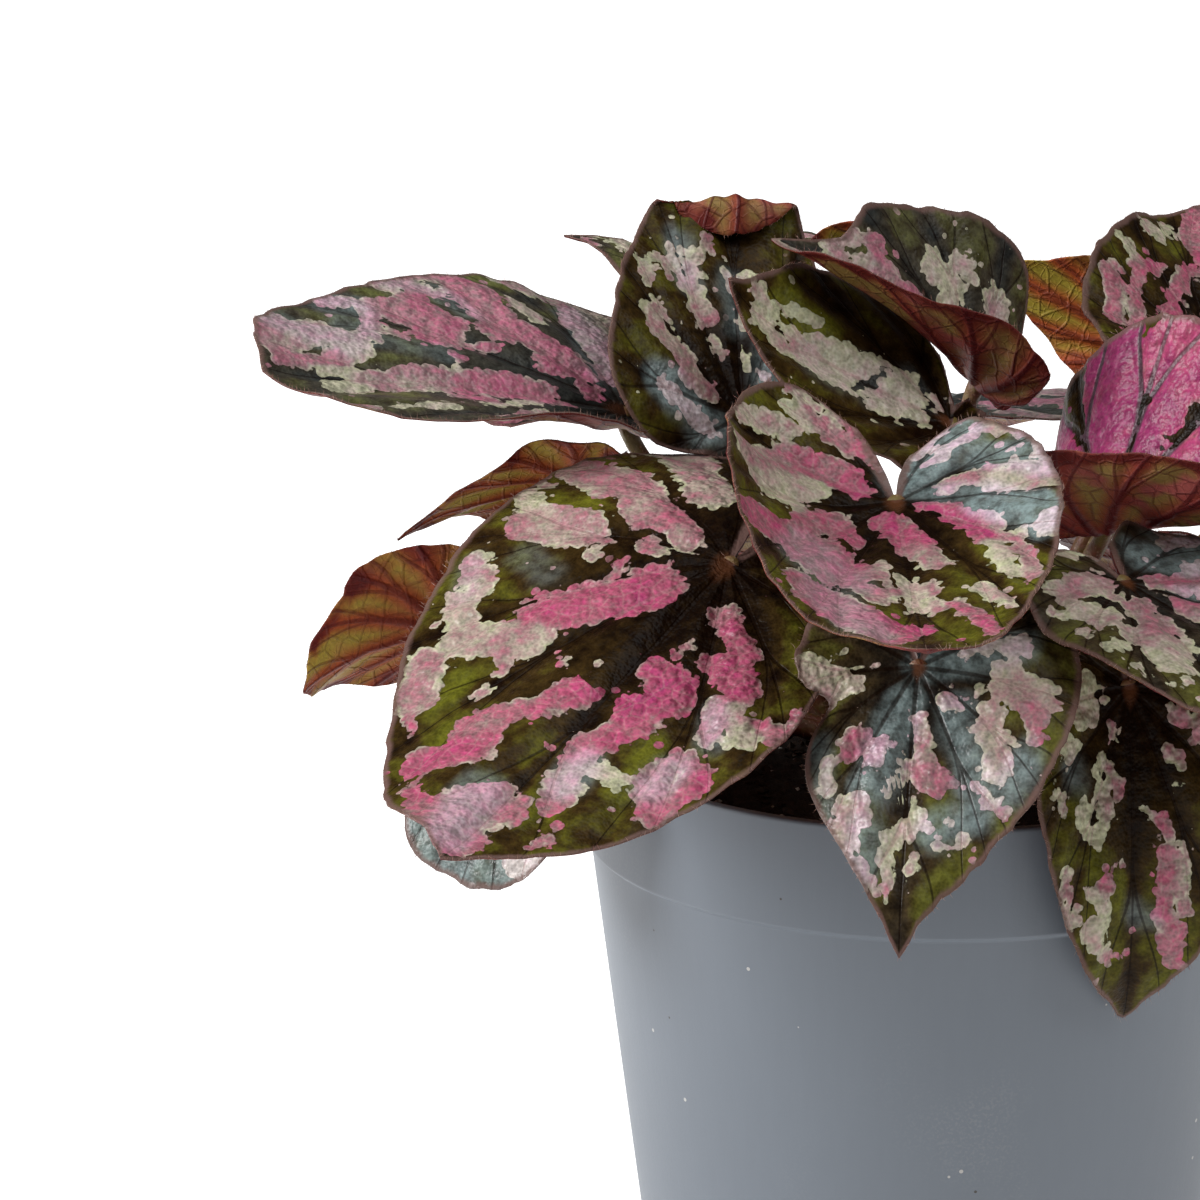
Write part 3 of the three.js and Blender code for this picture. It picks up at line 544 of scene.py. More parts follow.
            (20, 0.68, 22, 0.83, 1.9, 0.2), (22, 0.83, 22, 0.92, 1.4, 0.5),
            (10, 0.67, 14, 0.86, 2.2, 0.65), (15, 0.83, 14, 0.95, 1.5, 0.75),
            (158, 0.69, 154, 0.97, 2.3, 0.36), (142, 0.5, 134, 0.82, 1.7, 0.5),
            (136, 0.85, 124, 0.99, 1.4, 0.36), (146, 0.98, 146, 0.98, 0.8, 0.36),
            (122, 0.99, 112, 0.99, 0.8, 0.34), (109, 0.97, 104, 0.99, 1.1, 0.28),
            (100, 0.98, 92, 0.99, 1, 0.33), (104, 0.34, 103, 0.6, 2.2, 0.6),
            (94, 0.58, 84, 0.88, 3, 0.3), (100, 0.81, 87, 0.99, 2, 0.34),
            (165, 0.57, 165, 0.57, 0.9, 0.3), (112, 0.85, 111, 0.85, 0.7, 0.3),
            (117, 0.95, 117, 0.95, 0.6, 0.3), (79, 0.99, 78, 0.99, 1.1, 0.2),
            (63, 0.99, 62, 0.99, 0.6, 0.2), (56, 0.92, 54, 0.99, 2.2, 0.15),
            (58, 0.99, 58, 0.99, 0.8, 0.3), (53, 0.8, 52, 0.81, 0.7, 0.3),
        ],
        "silverSheen": [
            (158, 0.3, 142, 0.84, 4, 0.8), (122, 0.2, 81, 0.51, 1.8, 0.6),
            (75, 0.59, 60, 0.96, 4.2, 0.9), (120, 0.72, 97, 0.99, 3.4, 0.7),
            (118, 0.98, 100, 0.99, 1.4, 0.7), (-42, 0.6, -26, 0.6, 5.8, 0.25),
            (-24, 0.73, -11, 0.84, 4, 0.25),
        ],
        "bright": [
            (20, 0.47, 27, 0.61, 5.3, 1), (-76, 0.51, -83, 0.33, 2.5, 0.8),
            (13, 0.57, 16, 0.7, 2, 0.8), (-126, 0.83, -125, 0.64, 1.7, 0.5),
            (74, 0.99, 60, 0.99, 1.4, 1),
        ],
    },
    8: {
        "patches": [
            (-86, 0.91, -72, 0.66, 2.5, 0.18), (-73, 0.99, -70, 0.99, 2.9, 0.2),
            (-98, 0.62, -98, 0.62, 0.6, 0.3), (-83, 0.37, -82, 0.34, 0.9, 0.3),
            (-32, 0.59, -18, 0.48, 2.5, 0.62), (4, 0.22, 10, 0.38, 1.8, 0.45),
            (6, 0.42, 11, 0.55, 2.7, 0.5), (-9, 0.57, -1, 0.46, 1.4, 0.5),
            (18, 0.6, 20, 0.61, 1.2, 0.58), (-38, 0.79, -31, 0.93, 1.5, 0.3),
            (-20, 0.82, -19, 0.99, 2.9, 0.28), (-13, 0.99, -10, 0.99, 2, 0.34),
            (4, 0.62, -4, 0.71, 2.3, 0.15), (-6, 0.8, -4, 0.82, 1.2, 0.2),
            (4, 0.78, 0, 0.74, 0.9, 0.48), (-4, 0.88, -4, 0.89, 1.3, 0.5),
            (11, 0.8, 11, 0.81, 1.2, 0.45), (18, 0.87, 19, 0.88, 1, 0.42),
            (16, 0.76, 16, 0.77, 0.5, 0.15), (42, 0.25, 49, 0.31, 1.8, 0.5),
            (72, 0.43, 72, 0.44, 0.8, 0.55), (55, 0.51, 45, 0.55, 2.6, 0.22),
            (46, 0.67, 39, 0.72, 2.6, 0.34), (82, 0.6, 76, 0.77, 3.8, 0.33),
            (69, 0.76, 60, 0.83, 1.5, 0.6), (105, 0.67, 104, 0.6, 1.9, 0.34),
            (110, 0.31, 107, 0.48, 1.5, 0.28), (30, 0.78, 32, 0.88, 1.1, 0.52),
            (28, 0.7, 29, 0.71, 0.7, 0.4), (33, 0.91, 33, 0.92, 0.7, 0.5),
            (48, 0.9, 48, 0.92, 0.4, 0.5),
        ],
        "silverSheen": [
            (-13, 0.17, -16, 0.65, 2.8, 0.7), (92, 0.06, 104, 0.64, 2.7, 0.6),
            (40, 0.33, 28, 0.69, 2.6, 0.6), (-14, 0.83, -10, 0.92, 2.3, 0.6),
            (9, 0.72, 23, 0.81, 2.4, 0.7), (50, 0.84, 36, 0.86, 2.1, 0.7),
            (-44, 0.86, -26, 0.98, 1.7, 0.4),
        ],
        "bright": [
            (16, 0.7, 12, 0.72, 1.8, 1), (-50, 0.74, -38, 0.53, 1.3, 0.6),
            (-2, 0.7, -1, 0.69, 1.1, 1),
        ],
    },
    9: {
        "patches": [
            (-91, 0.43, -74, 0.43, 3.1, 0.1), (-86, 0.26, -81, 0.25, 1, 0.36),
            (-62, 0.64, -54, 0.58, 1.8, 0.08), (-36, 0.2, -27, 0.23, 1, 0.5),
            (-32, 0.37, -12, 0.35, 1.5, 0.45), (-30, 0.44, -24, 0.48, 1.5, 0.12),
            (-32, 0.64, -22, 0.61, 1.9, 0.08), (-20, 0.49, -20, 0.54, 1.2, 0.3),
            (-52, 0.79, -50, 0.77, 1.2, 0.2), (-45, 0.8, -44, 0.79, 1.1, 0.36),
            (-8, 0.56, -8, 0.56, 1.1, 0.55), (-30, 0.92, -27, 0.93, 1.5, 0.5),
            (-24, 0.94, -22, 0.98, 1.3, 0.5), (-12, 0.68, -12, 0.68, 1.9, 0.58),
            (-17, 0.79, -12, 0.75, 1.4, 0.15), (-13, 0.84, -14, 0.87, 2.4, 0.2),
            (-12, 0.9, -6, 0.85, 1.2, 0.3), (14, 0.44, 16, 0.51, 1.3, 0.68),
            (15, 0.55, 14, 0.67, 2.2, 0.72), (12, 0.68, 10, 0.73, 1.8, 0.78),
            (12, 0.8, 12, 0.93, 2, 0.6), (20, 0.62, 16, 0.8, 1.6, 0.5),
            (38, 0.34, 40, 0.37, 1.3, 0.45), (32, 0.44, 32, 0.44, 0.6, 0.12),
            (5, 0.37, 6, 0.37, 0.4, 0.4), (-2, 0.78, -2, 0.79, 0.6, 0.55),
        ],
        "silverSheen": [
            (-50, 0.63, -43, 0.63, 1.5, 0.4), (1, 0.63, 6, 0.72, 1.3, 0.35),
        ],
        "bright": [
            (-70, 0.56, -36, 0.29, 2.1, 1), (-24, 0.71, -32, 0.85, 2.2, 1),
            (-6, 0.61, -6, 0.74, 1.9, 1), (-10, 0.44, -10, 0.49, 1.5, 0.6),
            (-110, 0.55, -112, 0.43, 1.4, 1),
        ],
    },
    10: {
        "patches": [
            (-150, 0.98, -146, 0.77, 2, 0.22), (-165, 0.89, -164, 0.67, 1, 0.25),
            (-86, 0.65, -86, 0.25, 3.4, 0.34), (-62, 0.23, -48, 0.23, 2.2, 0.48),
            (-57, 0.61, -46, 0.56, 3.2, 0.22), (-49, 0.79, -49, 0.8, 1.7, 0.15),
            (-38, 0.83, -31, 0.71, 1.2, 0.15), (-72, 0.88, -66, 0.82, 1.3, 0.3),
            (-65, 0.76, -64, 0.75, 0.7, 0.2), (-29, 0.88, -26, 0.84, 1, 0.2),
            (-24, 0.87, -24, 0.86, 1, 0.2), (-16, 0.82, -15, 0.81, 0.5, 0.3),
            (-12, 0.79, -12, 0.78, 0.8, 0.25), (-17, 0.22, -6, 0.33, 3.2, 0.52),
            (-20, 0.48, -6, 0.47, 3.9, 0.34), (-16, 0.63, -10, 0.64, 3.1, 0.08),
            (38, 0.34, 36, 0.42, 2.7, 0.65), (120, 0.77, 116, 0.98, 2.2, 0.28),
            (132, 0.97, 131, 0.97, 0.6, 0.25), (122, 0.42, 120, 0.41, 0.8, 0.3),
            (72, 0.21, 80, 0.49, 2.6, 0.62), (91, 0.51, 91, 0.56, 2, 0.25),
            (-162, 0.36, -162, 0.35, 0.3, 0.25),
        ],
        "silverSheen": [
            (124, 0.51, 102, 0.61, 4.1, 0.9), (144, 0.57, 132, 0.43, 2.2, 0.6),
            (62, 0.35, 62, 0.42, 1.3, 0.6), (130, 0.86, 116, 0.95, 2.7, 0.8),
        ],
        "bright": [
            (-112, 0.66, -150, 0.27, 3.1, 1), (-73, 0.58, -42, 0.37, 1.7, 0.5),
        ],
    },
    12: {
        "patches": [
            (82, 0.84, 111, 0.73, 2.4, 0.65), (65, 0.71, 106, 0.6, 1.8, 0.68),
            (58, 0.88, 61, 0.77, 1.7, 0.2), (40, 0.93, 40, 0.87, 2, 0.3),
            (28, 0.88, 38, 0.78, 1.3, 0.28), (52, 0.65, 51, 0.65, 2.2, 0.85),
            (25, 0.52, 80, 0.35, 1.9, 0.72),
        ],
        "bright": [
            (68, 0.93, 71, 0.86, 2.3, 0.8), (29, 0.7, 22, 0.76, 1.6, 1),
        ],
    },
}


# Patches between the main veins, for the leaves, or the sectors of a leaf, that have no strokes.
def growPatches(leaf, low=-180, high=180):
    draw = randomFrom(leaf["seed"] + 40)
    strokes = []
    for a, b in zip(veinLines[:-1], veinLines[1:]):
        middle = (a + b) / 2
        start = 0.26 + 0.16 * draw()
        while start < 0.88:
            end = min(start + 0.1 + 0.3 * draw(), 0.93)
            spacing = (b - a) * degree * (start + end) / 2 * float(leafReach(leaf, np.array(middle)))
            pink = leaf["blush"] + 0.5 * (draw() - 0.5)
            halfWidth = (0.19 + 0.13 * draw()) * spacing * leaf["fill"]
            if low <= middle <= high:
                strokes.append((middle + 7 * (draw() - 0.5), start, middle + 7 * (draw() - 0.5), end,
                                halfWidth, pink))
            start = end + (0.06 + 0.09 * draw()) / leaf["fill"]
    return strokes


# Distance in mm from each place of the flat blade to a stroke, below 0 inside it.
def strokeDistance(leaf, stroke, u, v):
    ends = []
    for angle, share in (stroke[:2], stroke[2:4]):
        radius = share * float(leafReach(leaf, np.array(float(angle))))
        ends.append((radius * math.cos(angle * degree), radius * math.sin(angle * degree) * leaf["wide"]))
    (ua, va), (ub, vb) = ends
    du, dv = ub - ua, vb - va
    t = np.clip(((u - ua) * du + (v - va) * dv) / max(du * du + dv * dv, 1e-6), 0, 1)
    return np.hypot(u - ua - t * du, v - va - t * dv) - stroke[4]


# Distance in mm to the nearest patch, below 0 inside it, and the tone of the patches there.
def patchField(leaf, u, v):
    u2 = u + 0.9 * lumps(u / 4.5, v / 4.5, leaf["seed"])
    v2 = v + 0.9 * lumps(v / 4.5 + 9, u / 4.5, leaf["seed"] + 3)
    nearest, tint, total = np.full(u.shape, 40.0), np.zeros(u.shape), np.full(u.shape, 1e-9)
    strokes = list(painted.get(leaf["seed"], {}).get("patches", []))
    if leaf["grow"] or not strokes:
        strokes += growPatches(leaf, *leaf["grow"])
    for stroke in sorted(strokes, key=lambda stroke: stroke[5] < 0):
        distance = strokeDistance(leaf, stroke, u2, v2)
        if stroke[5] < 0:
            nearest = np.maximum(nearest, -distance)
            continue
        weight = np.exp(-1.5 * np.clip(distance, -6, 20))
        tint, total = tint + weight * stroke[5], total + weight
        nearest = np.minimum(nearest, distance)
    return nearest, tint / total


# How strongly the strokes of one kind reach each place, over the value that the leaf has everywhere.
def strokeStrength(leaf, kind, base, u, v):
    strength = np.full(u.shape, float(base))
    for stroke in painted.get(leaf["seed"], {}).get(kind, []):
        distance = strokeDistance(leaf, stroke, u, v) + 0.8 * lumps(u / 3, v / 3, leaf["seed"] + 7)
        strength = np.maximum(strength, stroke[5] * (1 - smoothStep(-1.2, 2.2, distance)))
    return strength


leafLook = {
    "junction": (0.085, 0.03, 0.012),
    "dark": (0.006, 0.0022, 0.0007),
    "green": (0.03, 0.017, 0.004),
    "olive": (0.085, 0.085, 0.008),
    # silvery grey, for the leaf's own silver and for painted sheen, reflected light painted in
    "silverSheen": (0.155, 0.205, 0.205),
    "paleGreen": (0.35, 0.35, 0.22),
    "cream": (0.35, 0.295, 0.235),
    "dusty": (0.25, 0.132, 0.138),
    "pink": (0.3, 0.068, 0.112),
    "magenta": (0.31, 0.04, 0.108),
    "deepMagenta": (0.19, 0.018, 0.078),
    "veinGrey": (0.045, 0.025, 0.034),
    # pale lilac of painted sheen, reflected light painted onto the patches
    "lilacSheen": (0.5, 0.41, 0.49),
    "margin": (0.125, 0.072, 0.062),
    "cellSize": 0.62,  # the fine grain of the surface
    "scallopSize": 2.2,  # the patches' edges, scalloped by cells of two sizes
    "scallopDepth": 1.75,
    "nibbleSize": 1.0,
    "nibbleDepth": 0.5,
    "wander": 0.6,
    "spotSpacing": 6.3,
    "netSize": 2.7,  # the puffs between the smallest veins
    "poreSize": 1.15,
    "roughness": 0.24,
    "shine": 0.06,  # outside the patches
    "topRelief": 0.6,
    "underRelief": 0.8,
    "underMargin": (0.085, 0.008, 0.006),
    "underRed": (0.17, 0.022, 0.014),
    "underRose": (0.25, 0.058, 0.05),
    "underOlive": (0.2, 0.125, 0.036),
    # painted backlight: the underside's flame red and yellow, as if light shone through the leaf from behind
    "underBacklitRed": (0.32, 0.04, 0.013),
    "underBacklitYellow": (0.34, 0.26, 0.033),
    "underVein": (0.07, 0.005, 0.006),
}


def veinDistances(tree, phase, share, gap):
    offset = calc(tree, "SUBTRACT", calc(tree, "FRACT", calc(tree, "ADD", phase, 0.5)), 0.5)
    offset = calc(tree, "ABSOLUTE", offset)
    fork = ramp(tree, share, 0.45, 1.0, 0.0, 0.33)
    main = calc(tree, "MULTIPLY", offset, gap)
    side = calc(tree, "MULTIPLY", calc(tree, "ABSOLUTE", calc(tree, "SUBTRACT", offset, fork)), gap)
    return main, side


# Distance to the painted patches in mm, below 0 inside them.
def patchEdge(tree, place, patch, main, midNoise):
    look = leafLook
    scallops = around(tree, cells(tree, place, look["scallopSize"]), look["scallopDepth"], 0.48)
    nibbles = around(tree, cells(tree, place, look["nibbleSize"]), look["nibbleDepth"], 0.44)
    wander = around(tree, midNoise, look["wander"])
    nearVein = ramp(tree, main, 0.15, 0.8, 0.7, 0.0)
    return total(tree, patch, scallops, nibbles, wander, nearVein)


# Small round spots outside the patches.
def smallSpots(tree, place, patch, share, broadNoise):
    spots = cells(tree, place, leafLook["spotSpacing"])
    spots = calc(tree, "ADD", spots, calc(tree, "MULTIPLY", cells(tree, place, 0.8), 0.05))
    inSpot = calc(tree, "LESS_THAN", spots, ramp(tree, broadNoise, 0.42, 0.7, 0.02, 0.16))
    inSpot = calc(tree, "MULTIPLY", inSpot, ramp(tree, share, 0.3, 0.5))
    return calc(tree, "MULTIPLY", inSpot, ramp(tree, patch, 9.0, 5.0))


# The ground: near black by the junction and the veins, olive between, and silvery in places, where
# the leaf's own silver is mixed with painted sheen, reflected light painted in.
def groundColour(tree, bright, sheen, share, main, line, broadNoise, midNoise):
    look = leafLook
    light = calc(tree, "MULTIPLY_ADD", bright, 0.55, ramp(tree, main, 0.3, 3.5, 0.0, 0.34))
    light = calc(tree, "ADD", light, around(tree, broadNoise, 1.1))
    light = calc(tree, "MULTIPLY", light, ramp(tree, share, 0.15, 0.78, 0.05, 1.0))
    light = calc(tree, "ADD", light, around(tree, midNoise, 0.35))
    ground = colourRamp(tree, light, [(0.0, look["dark"]), (0.4, look["green"]), (0.95, look["olive"])])
    # painted sheen: reflected light painted into the ground as silvery grey, together with the leaf's own
    # silver
    silverSheen = calc(tree, "MULTIPLY", sheen, ramp(tree, midNoise, 0.3, 0.6, 0.6, 1.0))
    ground = mixColour(tree, silverSheen, ground, look["silverSheen"])
    return mixColour(tree, calc(tree, "MULTIPLY", line, 0.7), ground, look["dark"])


# The patches: their tone wanders and is paler at the rim, and the net and the veins cross them.
def paintColour(tree, place, blush, sheen, reach, line, allPainted, broadNoise, midNoise):
    look = leafLook
    rim = ramp(tree, reach, -1.1, -0.15, 0.0, 1.0)
    paler = calc(tree, "MULTIPLY", rim, ramp(tree, broadNoise, 0.35, 0.6, 0.34, 0.06))
    tone = total(tree, blush, around(tree, broadNoise, 0.7), around(tree, midNoise, 0.75))
    tone = calc(tree, "MULTIPLY", calc(tree, "SUBTRACT", tone, paler), 0.8)
    paint = colourRamp(tree, tone, [(0.0, look["paleGreen"]), (0.2, look["cream"]), (0.38, look["dusty"]),
                                    (0.62, look["pink"]), (0.8, look["magenta"]), (1.0, look["deepMagenta"])])
    # painted sheen: reflected light painted onto the patches, which turn pale lilac
    paint = mixColour(tree, calc(tree, "MULTIPLY", sheen, 0.75), paint, look["lilacSheen"])
    net = ramp(tree, cells(tree, place, look["netSize"], "DISTANCE_TO_EDGE"), 0.02, 0.1, 1.0, 0.0)
    netCover = calc(tree, "MULTIPLY", net, ramp(tree, allPainted, 0.0, 1.0, 0.17, 0.05))
    paint = mixColour(tree, netCover, paint, look["cream"])
    veinTint = mixColour(tree, allPainted, look["dusty"], look["veinGrey"])
    veinCover = calc(tree, "MULTIPLY", line, ramp(tree, allPainted, 0.0, 1.0, 0.4, 0.95))
    return mixColour(tree, veinCover, paint, veinTint)


# Height of the fine relief in mm: puffs and pores, lower on the ground, and sunken veins.
def topRelief(tree, place, inPatch, line, allPainted, fine, midNoise):
    look = leafLook
    puffs = ramp(tree, cells(tree, place, look["netSize"], "SMOOTH_F1"), 0.0, 0.75, 0.8, 0.0)
    pores = ramp(tree, cells(tree, place, look["poreSize"], "SMOOTH_F1"), 0.0, 0.75, 0.4, 0.0)
    strength = ramp(tree, inPatch, 0.0, 1.0, 0.22, 1.0)
    strength = calc(tree, "MULTIPLY", strength, ramp(tree, allPainted, 0.0, 1.0, 1.0, 0.45))
    puffs = calc(tree, "MULTIPLY", calc(tree, "ADD", puffs, pores), strength)
    return total(tree, puffs, calc(tree, "MULTIPLY", fine, -0.1), calc(tree, "MULTIPLY", line, -0.14),
                 calc(tree, "MULTIPLY", midNoise, 0.2))


def bladeTopMaterial():
    material, tree, shader = newMaterial("painted_leaf")
    look = leafLook
    place = readPlace(tree, "flat")
    phase, share, gap, patch, blush, sheen, edge, bright = (readValue(tree, name) for name in (
        "phase", "share", "gap", "patch", "blush", "sheen", "edge", "bright"))
    fine = cells(tree, place, look["cellSize"])
    broadNoise = grain(tree, place, 7, 2)
    midNoise = grain(tree, place, 2.2, 3, rough=0.6)
    allPainted = ramp(tree, blush, 0.98, 1.05)  # the leaf that is magenta all over, with grey veins
    main, side = veinDistances(tree, phase, share, gap)
    veinWidth = calc(tree, "MULTIPLY", ramp(tree, share, 0.0, 1.0, 0.6, 0.26),
                     ramp(tree, allPainted, 0.0, 1.0, 1.0, 2.6))
    vein = calc(tree, "MINIMUM", main, side)
    line = ramp(tree, calc(tree, "DIVIDE", vein, veinWidth), 0.35, 1.0, 1.0, 0.0)
    reach = patchEdge(tree, place, patch, main, midNoise)
    inPatch = calc(tree, "MAXIMUM", ramp(tree, reach, -0.09, 0.09, 1.0, 0.0),
                   smallSpots(tree, place, patch, share, broadNoise))
    ground = groundColour(tree, bright, sheen, share, main, line, broadNoise, midNoise)
    paint = paintColour(tree, place, blush, sheen, reach, line, allPainted, broadNoise, midNoise)
    colour = mixColour(tree, inPatch, ground, paint)
    speckle = calc(tree, "MULTIPLY_ADD", fine, 0.45, calc(tree, "MULTIPLY_ADD", midNoise, 1.3, 0.18))
    colour = shaded(tree, colour, speckle)
    border = calc(tree, "ADD", edge, calc(tree, "MULTIPLY", midNoise, 0.8))
    colour = mixColour(tree, ramp(tree, border, 0.7, 1.6, 0.85, 0.0), colour, look["margin"])
    colour = mixColour(tree, ramp(tree, share, 0.02, 0.075, 0.8, 0.0), colour, look["junction"])
    tree.links.new(colour, shader.inputs["Base Color"])
    gloss = calc(tree, "MULTIPLY_ADD", midNoise, 0.2,
                 calc(tree, "MULTIPLY_ADD", inPatch, 0.04, look["roughness"]))
    tree.links.new(gloss, shader.inputs["Roughness"])
    level = calc(tree, "MULTIPLY_ADD", inPatch, 0.18, calc(tree, "MULTIPLY_ADD", sheen, 0.3, look["shine"]))
    tree.links.new(level, shader.inputs["Specular IOR Level"])
    height = topRelief(tree, place, inPatch, line, allPainted, fine, midNoise)
    setBump(tree, shader, height, look["topRelief"])
    return material


def bladeUnderMaterial():
    material, tree, shader = newMaterial("leaf_underside")
    look = leafLook
    place = readPlace(tree, "flat")
    phase, share, gap, edge, backlight = (readValue(tree, name) for name in (
        "phase", "share", "gap", "edge", "backlight"))
    main, side = veinDistances(tree, phase, share, gap)
    width = ramp(tree, share, 0.0, 1.0, 1.5, 0.6)
    line = ramp(tree, calc(tree, "DIVIDE", main, width), 0.3, 1.0, 1.0, 0.0)
    sideLine = ramp(tree, calc(tree, "DIVIDE", side, width), 0.2, 0.7, 0.75, 0.0)
    line = calc(tree, "MAXIMUM", line, sideLine)
    net = ramp(tree, cells(tree, place, 4.2, "DISTANCE_TO_EDGE"), 0.015, 0.085, 1.0, 0.0)
    fineNet = ramp(tree, cells(tree, place, 1.7, "DISTANCE_TO_EDGE"), 0.02, 0.11, 1.0, 0.0)
    broadNoise = grain(tree, place, 8, 3)
    fine = grain(tree, place, 0.7, 2)
    t = calc(tree, "MULTIPLY_ADD", broadNoise, 1.3, calc(tree, "MULTIPLY", ramp(tree, edge, 0.5, 7.0), 0.7))
    t = calc(tree, "MULTIPLY_ADD", backlight, 0.22, calc(tree, "SUBTRACT", t, 0.62))
    # painted backlight: a leaf set to glow gets its underside painted yellow and flame red, as if lit through
    glow = ramp(tree, backlight, 0.3, 1.0)
    rosy = ramp(tree, grain(tree, place, 11, 2), 0.46, 0.62)
    patchy = mixColour(tree, rosy, look["underOlive"], look["underRose"])
    inner = mixColour(tree, glow, patchy, look["underBacklitYellow"])
    red = mixColour(tree, glow, look["underRed"], look["underBacklitRed"])
    colour = mixColour(tree, ramp(tree, t, 0.0, 0.42), look["underMargin"], red)
    between = calc(tree, "MULTIPLY", ramp(tree, t, 0.05, 0.5), ramp(tree, main, 0.6, 4.0, 0.12, 1.0))
    colour = mixColour(tree, between, colour, inner)
    faint = ramp(tree, glow, 0.0, 1.0, 0.45, 0.12)
    colour = mixColour(tree, calc(tree, "MULTIPLY", fineNet, 0.12), colour, look["underRed"])
    colour = mixColour(tree, calc(tree, "MULTIPLY", net, faint), colour, look["underVein"])
    colour = mixColour(tree, calc(tree, "MULTIPLY", line, ramp(tree, glow, 0.0, 1.0, 0.92, 0.55)), colour,
                       look["underVein"])
    shade = calc(tree, "MULTIPLY_ADD", fine, 0.6, 0.7)
    colour = shaded(tree, colour, shade)
    tree.links.new(colour, shader.inputs["Base Color"])
    tree.links.new(calc(tree, "MULTIPLY_ADD", fine, 0.2, 0.4), shader.inputs["Roughness"])
    shader.inputs["Specular IOR Level"].default_value = 0.2
    height = total(tree, calc(tree, "MULTIPLY", line, 0.3), calc(tree, "MULTIPLY", net, 0.2),
                   calc(tree, "MULTIPLY", fineNet, 0.08), calc(tree, "MULTIPLY", fine, 0.1))
    setBump(tree, shader, height, look["underRelief"])
    return material


def surfaceNormals(surface, angle, share):
    here = np.maximum(share, 0.04)
    out = surface(angle, here + 0.02)[0] - surface(angle, here)[0]
    around = surface(angle + 1, here)[0] - surface(angle - 1, here)[0]
    normal = np.cross(out, around)
    return normal / np.linalg.norm(normal, axis=-1, keepdims=True)


def gatherRows(grid):  # one value at the junction, then the rows
    return np.concatenate([grid[0, :1], grid[1:].reshape(-1, *grid.shape[2:])])


# Groups of faces from the rows out to the margin, and which of them have the underside's material.
# The points are those on top, as many below, and then the rim.
def bladeFaces(last, width):
    layer = 1 + last * width

    def number(row, j):
        return np.where(row == 0, 0, 1 + (row - 1) * width + j)
    row, j = np.meshgrid(np.arange(1, last), np.arange(width - 1), indexing="ij")
    row, j = row.ravel(), j.ravel()
    quad = np.stack([number(row, j), number(row + 1, j), number(row + 1, j + 1), number(row, j + 1)], axis=1)
    j = np.arange(width - 1)
    fan = np.stack([j * 0, number(j * 0 + 1, j), number(j * 0 + 1, j + 1)], axis=1)
    outer = number(j * 0 + last, j)
    rimRow = 2 * layer + j
    rimTop = np.stack([outer, rimRow, rimRow + 1, outer + 1], axis=1)
    rimUnder = np.stack([rimRow, outer + layer, outer + layer + 1, rimRow + 1], axis=1)
    r = np.arange(last)
    first, second = number(r, r * 0), number(r + 1, r * 0)
    sideA = np.stack([first, first + layer, second + layer, second], axis=1)
    first, second = number(r, r * 0 + width - 1), number(r + 1, r * 0 + width - 1)
    sideB = np.stack([first, second, second + layer, first + layer], axis=1)
    cornerA, cornerB = number(np.array([last]), 0)[0], number(np.array([last]), width - 1)[0]
    corners = np.array([[cornerA, cornerA + layer, 2 * layer],
                        [cornerB + layer, cornerB, 2 * layer + width - 1]])
    groups = [quad, fan, quad[:, ::-1] + layer, fan[:, ::-1] + layer, rimTop, rimUnder, sideA, sideB, corners]
    return groups, [0, 0, 1, 1, 0, 1, 1, 1, 1]


# The bake's own map: the two faces side by side, and the rim in a strip below them.
def addBakeMap(mesh, leaf, groups, u, v, turn, share):
    layer, width = 1 + (len(u) - 1) * len(u[0]), len(u[0])
    x = 0.25 + 0.36 * gatherRows(v) / (leaf["length"] * leaf["wide"])
    y = 0.04 + 0.93 * (gatherRows(u) / leaf["length"] + 0.62) / 1.75
    stripX = np.concatenate([gatherRows(0.01 + 0.8 * turn)] * 2 + [0.01 + 0.8 * turn[-1]])
    stripY = np.concatenate([np.full(layer, 0.004), np.full(layer, 0.016), np.full(width, 0.01)])
    sideX = np.concatenate([gatherRows(0.84 + 0.14 * share)] * 2 + [np.full(width, 0.99)])
    onTop = np.stack([np.concatenate([x, x, x[:width]]), np.concatenate([y, y, y[:width]])], axis=1)
    onUnder = onTop + [0.5, 0]
    strip = np.stack([stripX, stripY], axis=1)
    sideStrip = np.stack([sideX, stripY], axis=1)
    maps = [onTop, onTop, onUnder, onUnder, strip, strip, sideStrip, sideStrip + [0, 0.02], sideStrip]
    corner = np.concatenate([place[group].reshape(-1, 2) for place, group in zip(maps, groups)])
    layerMap = mesh.uv_layers.new(name="OFBake")
    layerMap.uv.foreach_set("vector", corner.astype(np.float32).ravel())


